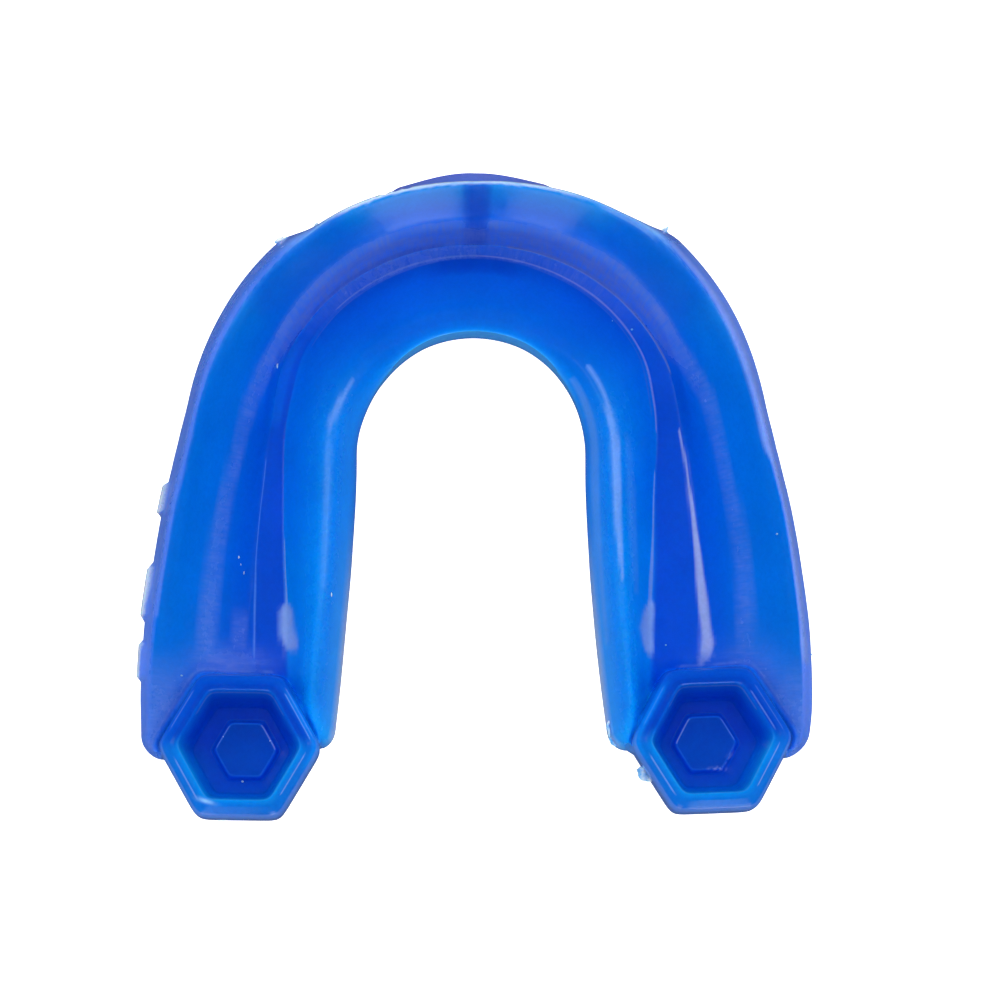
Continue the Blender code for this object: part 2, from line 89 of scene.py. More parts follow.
# The right arm is a little fuller than the left one: half of the difference.
FULLER_EDGE = ((0, 0), (14, 0.04), (24, 0.16), (34, 0.30), (50, 0.30), (62, 0.16))
FULLER_CREASE_IN = ((0, 0), (24, 0.1), (40, 0.5), (62, 0.4))
FULLER_CREASE_OUT = ((0, 0), (24, 0.1), (40, 0.38), (62, 0.4))
FULLER_WIDEST = ((0, 0), (4, 0.08), (8, 0.16), (12, 0.22), (15, 0.42), (18, 0.35), (24, 0.3), (30, 0.22), (45, 0.35), (60, 0.32), (64, 0.16))

# Section shapes: (part of the width, part of the height).
TONGUE_FACE = ((0, 0), (0.12, 0.26), (0.35, 0.56), (0.62, 0.83), (0.84, 0.97), (1, 1))
TONGUE_SLOPE = ((0, 1), (0.14, 0.965), (0.4, 0.72), (0.7, 0.33), (0.9, 0.09), (1, 0))
FOOT = ((0, 0.30), (30, 0.30), (48, 0.35), (53, 0.9), (56, 1.1), (62, 0.8))   # half width of the rounding at both creases
FOOT_LIFT = 0.22        # how much the rounding raises a crease, as a part of its half width
FLANGE_FRONT = ((0, 0), (0.06, 0.20), (0.14, 0.53), (0.26, 0.66), (0.5, 0.80), (0.75, 0.925), (0.9, 0.985), (1, 1))
FLANGE_ARM = ((0, 0), (0.06, 0.03), (0.14, 0.085), (0.28, 0.20), (0.5, 0.42), (0.75, 0.715), (0.9, 0.93), (0.96, 0.985), (1, 1))
OUTER_FACE = ((0, 1), (0.12, 0.975), (0.3, 0.88), (0.55, 0.62), (0.8, 0.30), (1, 0))

END_OUTER = {-1: (62.85, 2.1), 1: (62.2, 2.3)}   # rounding of the lobe beside each boss: start, radius
END_INNER = {-1: (61.85, 2.0), 1: (61.75, 2.0)}

# Plain pads on the outer face: side, station, half length, middle, half height, thickness.
PADS = (
    (0, -0.45, 6.95, 7.3, 3.3, 1.22),
    (-1, 39.8, 1.5, 6.6, 1.7, 0.50),
    (-1, 48.9, 2.6, 6.3, 1.8, 0.50),
    (-1, 55.6, 1.8, 5.9, 1.6, 0.42),
)

PAD_THINS = 0.55        # how much thinner the front pad is at its ends

# Hexagonal bosses: centre, and distances across half flats.
CUPS = {-1: (-22.72, -24.34), 1: (23.22, -23.44)}
CUP_TURN = {-1: -0.5, 1: 2.5}   # degrees
BOSS_HALF = 7.00
HEX_ROUND = 20          # higher is sharper corners
BOSS_PROFILE = (        # (half flats, height)
    (0.0, 2.15), (2.52, 2.15), (2.66, 2.05), (2.92, 1.35), (3.08, 1.25),
    (4.20, 1.38), (4.42, 1.60), (4.60, 2.30), (5.05, 6.10), (5.18, 6.90), (5.32, 7.40),
    (5.46, 7.50), (5.66, 7.50), (5.95, 7.42), (6.50, 7.12), (6.76, 6.80), (6.90, 6.40), (7.00, 5.75),
)
MIDDLE = {-1: 0.45, 1: -0.35}   # the raised middle sits this far off the cup's centre
MOAT_DEPTH, MOAT_WIDTH = 0.35, 1.7
STEP_WIDTH = 0.35

WALL = ((0.0, 1.0), (0.0, 0.80), (0.02, 0.60), (0.05, 0.42), (0.12, 0.24), (0.30, 0.09), (0.75, 0.0))  # (inset, part of height)

# Sampling
STEP_S = 0.5
RING_N = 132
ROWS = {
    "tongue_face": tuple(k / 8 for k in range(1, 9)),
    "tongue_slope": tuple(k / 16 for k in range(1, 15)) + (0.9, 0.92, 0.932, 0.942, 0.951, 0.959, 0.966, 0.973, 0.98, 0.987, 0.994, 1.0),
    "floor": (0.03, 0.07, 0.12, 0.2, 0.35, 0.5, 0.65, 0.8, 0.88, 0.93, 0.97, 1.0),
    "flange": (0.01, 0.02, 0.032, 0.046, 0.062, 0.08, 0.1, 0.12, 0.14, 0.17, 0.2, 0.23, 0.26, 0.3, 0.34, 0.38, 0.44, 0.5, 0.56, 0.62, 0.68, 0.74, 0.8, 0.85, 0.9, 0.935, 0.96, 0.98, 1.0),
    "outer": (0.06, 0.12, 0.2, 0.3, 0.42, 0.55, 0.7, 0.85, 1.0),
}
RINGS = (1.2, 2.2, 2.42, 2.47, 2.52, 2.57, 2.62, 2.66, 2.75, 2.85, 2.92, 3.0, 3.04, 3.08, 3.12, 3.16, 3.8, 4.0, 4.2, 4.32, 4.42, 4.52, 4.6, 4.8, 5.05, 5.1, 5.16, 5.22, 5.28, 5.34, 5.4, 5.46, 5.52, 5.58, 5.66, 5.74, 5.82, 5.88, 5.95, 6.02, 6.09, 6.16, 6.23, 6.3, 6.37, 6.44, 6.5, 6.56, 6.62, 6.68, 6.74, 6.8, 6.86, 6.92, 6.96)
OUT_RINGS = (0.1, 0.2, 0.3, 0.42, 0.6, 0.85, 1.15, 1.45)


# ------------------------------------------------------------------ functions
def curve(table, x):
    """Smooth curve through a table's points that adds no extra bumps."""
    xs = np.array([p[0] for p in table], float)
    ys = np.array([p[1] for p in table], float)
    h = np.diff(xs)
    d = np.diff(ys) / h
    m = np.zeros(len(xs))
    m[0], m[-1] = d[0], d[-1]
    if len(xs) > 2:
        same = d[:-1] * d[1:] > 0
        w1, w2 = 2 * h[1:] + h[:-1], h[1:] + 2 * h[:-1]
        inner = np.zeros(len(d) - 1)
        inner[same] = (w1 + w2)[same] / (w1[same] / d[:-1][same] + w2[same] / d[1:][same])
        m[1:-1] = inner
    x = np.clip(np.asarray(x, float), xs[0], xs[-1])
    i = np.clip(np.searchsorted(xs, x, side="right") - 1, 0, len(h) - 1)
    t = (x - xs[i]) / h[i]
    t2, t3 = t * t, t * t * t
    return ((2 * t3 - 3 * t2 + 1) * ys[i] + (t3 - 2 * t2 + t) * h[i] * m[i]
            + (3 * t2 - 2 * t3) * ys[i + 1] + (t3 - t2) * h[i] * m[i + 1])


def smooth(t):
    t = np.clip(t, 0.0, 1.0)
    return t * t * (3 - 2 * t)


def place(s, u, side):
    """Plan position of a point at station s and distance u from the arch's centre line."""
    s, u = np.asarray(s, float), np.asarray(u, float)
    a = np.minimum(s, ARM_S) / ARCH_R
    x = side * u * np.sin(a)
    y = ARCH_Y + u * np.cos(a) - np.maximum(s - ARM_S, 0.0)
    x = np.where(s >= ARM_S, side * u, x)
    y = np.where(s >= ARM_S, ARCH_Y - (s - ARM_S), y)
    return x, y


def locate(x, y):
    """Station, distance and side of a plan position."""
    x, y = np.asarray(x, float), np.asarray(y, float)
    front = y > ARCH_Y
    s = np.where(front, ARCH_R * np.arctan2(np.abs(x), y - ARCH_Y), ARM_S + ARCH_Y - y)
    u = np.where(front, np.hypot(x, y - ARCH_Y), np.abs(x))
    return s, u, np.where(x < 0, -1.0, 1.0)


def section(s, side):
    """The section's corner points at a station: distances and heights."""
    sec = {
        "edge": curve(TONGUE_EDGE, s) - side * curve(FULLER_EDGE, s),
        "crest": curve(TONGUE_CREST, s) - side * curve(FULLER_EDGE, s),
        "in": curve(CREASE_IN, s) - side * curve(FULLER_CREASE_IN, s),
        "out": curve(CREASE_OUT, s) + side * curve(FULLER_CREASE_OUT, s),
        "rim": curve(RIM, s) + side * curve(FULLER_WIDEST, s),
        "wide": curve(WIDEST, s) + side * curve(FULLER_WIDEST, s),
        "edge_z": curve(TONGUE_EDGE_Z, s),
        "crest_z": curve(TONGUE_CREST_Z, s),
        "floor_z": curve(FLOOR_Z, s),
        "rim_z": curve(RIM_Z, s),
        "wide_z": curve(WIDEST_Z, s),
    }
    s0, r = END_OUTER[side]
    e = np.clip((s - s0) / r, 0, 1)
    drop = r * (1 - np.sqrt(1 - e * e))
    sec["wide"] = sec["wide"] - drop
    sec["rim"] = np.minimum(sec["rim"], sec["wide"] - 0.85)
    s0, r = END_INNER[side]
    e = np.clip((s - s0) / r, 0, 1)
    drop = r * (1 - np.sqrt(1 - e * e))
    sec["edge"] = sec["edge"] + drop
    sec["crest"] = np.maximum(sec["crest"], sec["edge"] + 1.2)
    sec["in"] = np.maximum(sec["in"], sec["crest"] + 0.8)
    return sec


def foot(u, s, q):
    """Rounding added at the two creases."""
    w = curve(FOOT, s)
    lift = np.zeros(np.broadcast(u, w).shape)
    for crease in ("in", "out"):
        d = np.clip(np.abs(u - q[crease]) / w, 0, 1)
        lift = np.maximum(lift, FOOT_LIFT * w * (1 - d) ** 2)
    return lift


def part_of_section(name, t, s, side):
    """Distance and height at part t of one stretch of the section."""
    q = section(s, side)
    t = np.asarray(t, float)
    if name == "tongue_face":
        return (q["edge"] + t * (q["crest"] - q["edge"]),
                q["edge_z"] + curve(TONGUE_FACE, t) * (q["crest_z"] - q["edge_z"]))
    if name == "tongue_slope":
        u = q["crest"] + t * (q["in"] - q["crest"])
        return u, q["floor_z"] + curve(TONGUE_SLOPE, t) * (q["crest_z"] - q["floor_z"]) + foot(u, s, q)
    if name == "floor":
        u = q["in"] + t * (q["out"] - q["in"])
        return u, q["floor_z"] + foot(u, s, q)
    if name == "flange":
        b = smooth((s - 12.0) / 24.0)
        h = (1 - b) * curve(FLANGE_FRONT, t) + b * curve(FLANGE_ARM, t)
        z = q["floor_z"] + h * (q["rim_z"] - q["floor_z"])
        u = q["out"] + t * (q["rim"] - q["out"])
        return u, z + foot(u, s, q)
    u = q["rim"] + t * (q["wide"] - q["rim"])
    z = q["wide_z"] + curve(OUTER_FACE, t) * (q["rim_z"] - q["wide_z"])
    return u + pad(s, z, side) * smooth(t / 0.3), z


def pad(s, z, side):
    """How far the plain pads stand out of the outer face."""
    out = np.zeros(np.broadcast(s, z).shape)
    for where, s0, half, z0, tall, thick in PADS:
        if where not in (0, side):
            continue
        along = side * s if where == 0 else s
        a = np.abs(along - s0) / half
        b = np.abs(z - z0) / tall
        r = (a ** 6 + b ** 6) ** (1 / 6)
        if where == 0:
            thick = thick * (1 - PAD_THINS * smooth(a))
        out = np.maximum(out, thick * smooth((1.12 - r) / 0.24))
    return out


def hexagon(x, y, side):
    """Half-flats size of the rounded hexagon through a point."""
    cx, cy = CUPS[side]
    x, y = np.asarray(x, float) - cx, np.asarray(y, float) - cy
    total = np.zeros(np.broadcast(x, y).shape)
    for k in range(3):
        a = math.radians(90 + CUP_TURN[side] + 60 * k)
        total = total + np.abs(x * math.cos(a) + y * math.sin(a)) ** HEX_ROUND
    return total ** (1 / HEX_ROUND)


def ring(size, side, n):
    """Points of a hexagonal ring, closer together at its corners."""
    cx, cy = CUPS[side]
    off = MIDDLE[side] if size < 3.5 else 0.0
    per = n // 6
    pts = []
    for k in range(6):
        for j in range(per):
            t = 2 * j / per - 1
            a = math.radians(CUP_TURN[side] + 60 * k + 30 + 30 * (1.35 * t - 0.35 * t ** 3))
            c, d = math.cos(a), math.sin(a)
            r = size / float(hexagon(cx + c, cy + d, side))
            pts.append((cx + off + r * c, cy + r * d))
    return pts


def arm_height(x, y):
    """Height of the trough at a plan position on an arm."""
    s, u, side = locate(x, y)
    z = np.zeros(np.shape(s))
    for sd in (-1, 1):
        q = section(s, sd)
        pieces = (("edge", "crest", "tongue_face"), ("crest", "in", "tongue_slope"), ("in", "out", "floor"),
                  ("out", "rim", "flange"), ("rim", "wide", "outer"))
        zz = np.where(u < q["edge"], q["edge_z"], q["wide_z"])
        for a, b, name in pieces:
            t = np.clip((u - q[a]) / (q[b] - q[a]), 0, 1)
            zz = np.where((u >= q[a]) & (u <= q[b]), part_of_section(name, t, s, sd)[1], zz)
        z = np.where(side == sd, zz, z)
    return z


def blended(z, x, y, side):
    """Height of the trough, lowered round the boss and led into its edge."""
    h = hexagon(x, y, side) - BOSS_HALF
    low = z - MOAT_DEPTH * (1 - smooth(h / MOAT_WIDTH))
    k = 1 - smooth(h / STEP_WIDTH)
    return low + (BOSS_PROFILE[-1][1] - low) * k


def boss_height(size):
    xs = [p[0] for p in BOSS_PROFILE]
    zs = [p[1] for p in BOSS_PROFILE]
    return float(np.interp(size, xs, zs))


def stations(side=0):
    """Stations along one arm; on the outer face they are closer together at the pads' ends."""
    last = ARM_S + ARCH_Y - min(c[1] for c in CUPS.values())
    s = list(np.linspace(0, last, int(round(last / STEP_S)) + 1))
    if side:
        for where, s0, half, *_ in PADS:
            ends = [s0 + half * k for k in (-1.14, -1.0, -0.86, 0.86, 1.0, 1.14)]
            if where == 0:
                ends = [abs(v) for v in ends if v * side > 0]
            elif where != side:
                continue
            s = [v for v in s if min(abs(v - e) for e in ends) > 0.45] + ends
    return sorted(s)


def edge_chain(side, kind):
    """Plan outline of one arm's outer or tongue-side edge, front to end, up to the boss."""
    s_end = sum(END_OUTER[side] if kind == "wide" else END_INNER[side])
    base = [s for s in stations(side if kind == "wide" else 0) if s < s_end - 3.4]
    n = max(4, int(round((s_end - base[-1]) / (0.5 * STEP_S))))
    tail = [base[-1] + (s_end - base[-1]) * math.sin(0.5 * math.pi * (k + 1) / n) for k in range(n)]
    s = np.array(base + tail)
    if kind == "wide":
        u, z = part_of_section("outer", np.ones(len(s)), s, side)
    else:
        u, z = part_of_section("tongue_face", np.zeros(len(s)), s, side)
    x, y = place(s, u, side)
    h = hexagon(x, y, side)
    keep = []
    for i in range(len(s)):
        if h[i] <= BOSS_HALF:
            t = (h[i - 1] - BOSS_HALF) / (h[i - 1] - h[i])
            cross = (x[i - 1] + t * (x[i] - x[i - 1]), y[i - 1] + t * (y[i] - y[i - 1]))
            if math.hypot(keep[-1][0] - cross[0], keep[-1][1] - cross[1]) < 0.25 * STEP_S:
                keep.pop()
            keep.append((cross[0], cross[1], BOSS_PROFILE[-1][1], float(s[i]), True))
            break
        zz = float(blended(z[i], x[i], y[i], side))
        keep.append((float(x[i]), float(y[i]), zz, float(s[i]), False))
    return keep


def boss_arc(side, start, end):
    """Points of the boss's edge from one crossing to the other, round its free side."""
    cx, cy = CUPS[side]
    pts = ring(BOSS_HALF, side, RING_N)
    turn = -side
    a0 = math.atan2(start[1] - cy, start[0] - cx)
    a1 = math.atan2(end[1] - cy, end[0] - cx)
    span = (turn * (a1 - a0)) % (2 * math.pi)
    arc = []
    for px, py in pts:
        a = (turn * (math.atan2(py - cy, px - cx) - a0)) % (2 * math.pi)
        if 0.05 < a < span - 0.05:
            arc.append((a, px, py))
    arc.sort()
    return [(px, py, BOSS_PROFILE[-1][1], 70.0, True) for _, px, py in arc]


def outline():
    """The closed plan outline, counter-clockwise: x, y, height, station, on boss, side, outer."""
    loop = []
    chains = {(sd, kd): edge_chain(sd, kd) for sd in (-1, 1) for kd in ("wide", "edge")}
    # right side: outer edge front to end, boss, tongue side back
    right = [(*p, 1, True) for p in chains[(1, "wide")]]
    right += [(*p, 1, False) for p in boss_arc(1, chains[(1, "wide")][-1], chains[(1, "edge")][-1])]
    right += [(*p, 1, False) for p in reversed(chains[(1, "edge")])]
    left = [(*p, -1, False) for p in chains[(-1, "edge")][1:]]
    left += [(*p, -1, False) for p in reversed(boss_arc(-1, chains[(-1, "wide")][-1], chains[(-1, "edge")][-1]))]
    left += [(*p, -1, True) for p in reversed(chains[(-1, "wide")][1:])]
    loop = right + left
    area = sum(loop[i - 1][0] * loop[i][1] - loop[i][0] * loop[i - 1][1] for i in range(len(loop)))
    if area < 0:
        loop.reverse()
    return loop


def inside(loop, x, y):
    """Whether plan points are inside a closed loop."""
    xs = np.array([p[0] for p in loop])
    ys = np.array([p[1] for p in loop])
    xn, yn = np.roll(xs, -1), np.roll(ys, -1)
    x, y = np.asarray(x, float)[:, None], np.asarray(y, float)[:, None]
    cross = ((ys > y) != (yn > y)) & (x < (xn - xs) * (y - ys) / np.where(yn == ys, 1e-12, yn - ys) + xs)
    return cross.sum(1) % 2 == 1


def far_from(loop, x, y, gap):
    """Whether plan points are at least gap from the loop's edges."""
    a = np.array([(p[0], p[1]) for p in loop])
    b = np.roll(a, -1, axis=0)
    p = np.stack([np.asarray(x, float), np.asarray(y, float)], -1)[:, None, :]
    ab = b - a
    t = np.clip(((p - a) * ab).sum(-1) / (ab * ab).sum(-1), 0, 1)
    return np.sqrt(((p - (a + t[..., None] * ab)) ** 2).sum(-1)).min(1) > gap


def build_mesh(name):
    loop = outline()
    points = [(p[0], p[1]) for p in loop]
    heights = [p[2] for p in loop]
    edges = []

    def add(x, y, z):
        points.append((float(x), float(y)))
        heights.append(float(z))
        return len(points) - 1

    # rows along the arch
    order = ("tongue_face", "tongue_slope", "floor", "flange", "outer")
    for side in (-1, 1):
        for part in order:
            s = np.array(stations(side if part == "outer" else 0))
            if side < 0:
                s = s[1:]
            for t in ROWS[part]:
                if part == "outer" and t == 1.0:
                    continue
                u, z = part_of_section(part, np.full(len(s), t), s, side)
                x, y = place(s, u, side)
                h = hexagon(x, y, side)
                ok = (h > BOSS_HALF + OUT_RINGS[-1] + 0.25 * STEP_S) & inside(loop, x, y) & far_from(loop, x, y, 0.12)
                z = blended(z, x, y, side)
                crisp = (part, t) in (("tongue_slope", 1.0), ("floor", 1.0), ("flange", 1.0))
                before = None
                for i in range(len(s)):
                    if not ok[i]:
                        before = None
                        continue
                    k = add(x[i], y[i], z[i])
                    if crisp and before is not None:
                        edges.append((before, k))
                    before = k
    # rings round and in each cup
    for side in (-1, 1):
        cx, cy = CUPS[side]
        add(cx + MIDDLE[side], cy, boss_height(0.0))
        for size in RINGS:
            n = RING_N if size > 4 else RING_N // 2
            ids = [add(px, py, boss_height(size)) for px, py in ring(size, side, n)]
            edges += [(ids[i - 1], ids[i]) for i in range(len(ids))]
        pts = ring(BOSS_HALF, side, RING_N)
        px, py = np.array([p[0] for p in pts]), np.array([p[1] for p in pts])
        ok = inside(loop, px, py) & far_from(loop, px, py, 0.15)
        ids = [add(px[i], py[i], BOSS_PROFILE[-1][1]) if ok[i] else None for i in range(len(pts))]
        edges += [(ids[i - 1], ids[i]) for i in range(len(ids)) if ids[i] is not None and ids[i - 1] is not None]
        for away in OUT_RINGS:
            pts = ring(BOSS_HALF + away, side, RING_N)
            px, py = np.array([p[0] for p in pts]), np.array([p[1] for p in pts])
            ok = inside(loop, px, py) & far_from(loop, px, py, 0.3)
            z = blended(arm_height(px, py), px, py, side)
            for i in range(len(pts)):
                if ok[i]:
                    add(px[i], py[i], z[i])
    n = len(loop)
    edges += [(i, (i + 1) % n) for i in range(n)]
    verts, _, tris, origin, _, _ = delaunay_2d_cdt([Vector(p) for p in points], edges, [], 0, 1e-5)
    vx = np.array([v[0] for v in verts])
    vy = np.array([v[1] for v in verts])
    mid = np.array([(vx[list(t)].mean(), vy[list(t)].mean()) for t in tris])
    good = inside(loop, mid[:, 0], mid[:, 1])
    bm = bmesh.new()
    top = {}
    for k, orig in enumerate(origin):
        z = heights[min(orig)] if orig else None
        if z is None:
            side = -1 if vx[k] < 0 else 1
            z = float(arm_height(vx[k], vy[k]))
        top[k] = (vx[k], vy[k], z)
    made = {}

    def vert(k):
        if k not in made:
            x, y, z = top[k]
            made[k] = bm.verts.new(((x + SHIFT[0]) * MM, (y + SHIFT[1]) * MM, z * MM))
        return made[k]

    for t, ok in zip(tris, good):
        if ok:
            a, b, c = t
            if (vx[b] - vx[a]) * (vy[c] - vy[a]) - (vy[b] - vy[a]) * (vx[c] - vx[a]) < 0:
                b, c = c, b
            bm.faces.new((vert(a), vert(b), vert(c)))

    # wall from the outline down to the underside
    where = {}
    for k, orig in enumerate(origin):
        for o in orig:
            if o < n:
                where[o] = k
    rims = [vert(where[i]) for i in range(n)]
    px = np.array([p[0] for p in loop])
    py = np.array([p[1] for p in loop])
    tx, ty = np.roll(px, -1) - np.roll(px, 1), np.roll(py, -1) - np.roll(py, 1)
    length = np.hypot(tx, ty)
    nx, ny = ty / length, -tx / length
    rows = [rims]
    for inset, part in WALL[1:]:
        row = []
        for i, p in enumerate(loop):
            z = p[2] * part
            out = -inset
            if p[6] and not p[4]:
                s = np.array(p[3])
                out += float(pad(s, np.array(z), p[5]) - pad(s, np.array(float(curve(WIDEST_Z, s))), p[5]))
            row.append(bm.verts.new(((px[i] + nx[i] * out + SHIFT[0]) * MM, (py[i] + ny[i] * out + SHIFT[1]) * MM, z * MM)))
        rows.append(row)
    for upper, lower in zip(rows, rows[1:]):
        for i in range(n):
            j = (i + 1) % n
            bm.faces.new((upper[i], lower[i], lower[j]))
            bm.faces.new((upper[i], lower[j], upper[j]))

    # flat underside
    base = rows[-1]
    flat = [Vector((v.co.x / MM, v.co.y / MM)) for v in base]
    verts2, _, tris2, origin2, _, _ = delaunay_2d_cdt(flat, [(i, (i + 1) % n) for i in range(n)], [], 0, 1e-6)
    under = [(v.co.x / MM, v.co.y / MM) for v in base]
    mid = np.array([np.mean([verts2[k][:] for k in t], axis=0) for t in tris2])
    good = inside(under, mid[:, 0], mid[:, 1])
    for t, ok in zip(tris2, good):
        if ok:
            a, b, c = (min(origin2[k]) for k in t)
            pa, pb, pc = flat[a], flat[b], flat[c]
            if (pb - pa).cross(pc - pa) > 0:
                b, c = c, b
            bm.faces.new((base[a], base[b], base[c]))
    mesh = bpy.data.meshes.new(name)
    bm.to_mesh(mesh)
    bm.free()
    return mesh


# ------------------------------------------------------------------- looks
def srgb(r, g, b):
    """Linear colour of a screen colour 0-255."""
    out = []
    for c in (r, g, b):
        c = c / 255.0
        out.append(c / 12.92 if c <= 0.04045 else ((c + 0.055) / 1.055) ** 2.4)
    return tuple(out)


# Tints of the blue: painted light coming through thin edges, thick parts deeper, painted sheen and highlights paler.
LIT = (6, 132, 222)
EDGE = (0, 118, 221)
CLEAR = (0, 112, 220)
BODY = (0, 98, 214)
THICK = (0, 86, 210)
DEEP = (0, 74, 202)
DARK = (0, 64, 190)
# lavender painted sheen: the reflection of bright surroundings on the flange
PAINTED_SHEEN = (92, 124, 214)
PALE = (130, 182, 232)
SHINE = (150, 176, 226)
# navy of the front pad: its thickness, with painted shade under the rim
NAVY = (102, 122, 224)

# Section position (0 tongue edge, 1 tongue crest, 2 inner crease, 3 outer crease, 4 rim, 5 widest line): tint. It holds
# painted light through the thin tongue edge and at the flange's foot, the floor darker for its thickness and with
# painted shade, a painted highlight on the rim and painted reflection outside it.
ACROSS_FRONT = ((0.0, (40, 160, 246)), (0.15, (0, 124, 228)), (0.5, (0, 104, 214)), (1.0, (0, 95, 206)), (1.3, (0, 94, 208)), (1.7, (0, 92, 212)),
                (1.93, (0, 84, 204)), (2.0, (0, 84, 208)), (2.85, (0, 96, 228)), (3.0, (4, 122, 255)), (3.1, (4, 120, 250)), (3.3, (0, 104, 226)), (3.5, (0, 100, 212)),
                (3.8, (0, 118, 212)), (3.95, (30, 136, 222)), (4.05, (116, 172, 230)), (4.3, (104, 150, 232)), (4.55, (88, 128, 228)), (5.0, (84, 118, 226)))
ACROSS_ARM = ((0.0, (0, 128, 236)), (0.25, (0, 134, 238)), (0.7, (0, 120, 224)), (1.0, (0, 122, 214)), (1.3, (0, 122, 222)), (1.6, (0, 122, 228)),
              (1.9, (0, 116, 228)), (1.99, (0, 110, 224)), (2.08, (0, 76, 205)), (2.9, (0, 78, 206)), (3.0, (0, 84, 208)), (3.2, (0, 88, 208)), (3.5, (0, 101, 207)),
              (3.85, (0, 104, 208)), (4.0, (0, 104, 206)), (4.15, (44, 110, 220)), (4.5, (72, 120, 230)), (5.0, (86, 132, 236)))
# The same outside the rim on the right arm, where the painted reflection is stronger.
RIGHT_EDGE = ((4.0, (40, 114, 212)), (4.12, (92, 132, 232)), (4.5, (86, 132, 252)), (5.0, (92, 142, 255)))
# Distance from the cup's middle (half flats): tint on the side in the arm, and on the free side, as lit and shaded
# copies: painted shade deep in the cup and on the arm's side, painted light through the free side's thin wall, painted
# highlights on the edges.
CUP_IN = ((0.0, (0, 70, 182)), (2.45, (0, 70, 182)), (2.56, (24, 106, 214)), (2.66, (6, 94, 222)), (3.0, (4, 84, 214)), (3.15, (0, 66, 200)),
          (4.2, (0, 66, 200)), (4.45, (0, 74, 212)), (4.65, (0, 82, 214)), (4.9, (0, 84, 214)), (5.1, (4, 98, 212)), (5.3, (6, 98, 210)), (5.5, (0, 66, 180)), (5.8, (0, 64, 180)),
          (6.0, (0, 72, 190)), (6.7, (6, 84, 198)), (6.9, (20, 98, 210)), (7.15, (2, 100, 220)), (7.6, (2, 114, 230)), (8.6, (0, 106, 220)))
CUP_OUT = ((0.0, (0, 74, 185)), (2.45, (0, 74, 185)), (2.56, (20, 104, 212)), (2.66, (6, 94, 222)), (3.0, (4, 86, 214)), (3.15, (0, 72, 196)),
           (4.2, (0, 84, 200)), (4.45, (0, 108, 220)), (4.65, (0, 130, 232)), (4.9, (0, 136, 234)), (5.1, (0, 142, 222)), (5.3, (0, 146, 220)), (5.5, (0, 122, 212)), (5.66, (4, 118, 210)),
           (5.9, (4, 110, 208)), (6.7, (12, 106, 206)), (6.9, (50, 118, 214)), (7.3, (0, 110, 224)), (8.6, (0, 106, 220)))


def mix_table(table, x):
    xs = [p[0] for p in table]
    cs = np.array([srgb(*p[1]) for p in table])
    return np.array([np.interp(x, xs, cs[:, k]) for k in range(3)])


def hump(x, a, b, soft):
    """1 between a and b, led to 0 over soft on both sides."""
    return smooth((x - a + soft) / soft) * smooth((b - x + soft) / soft)
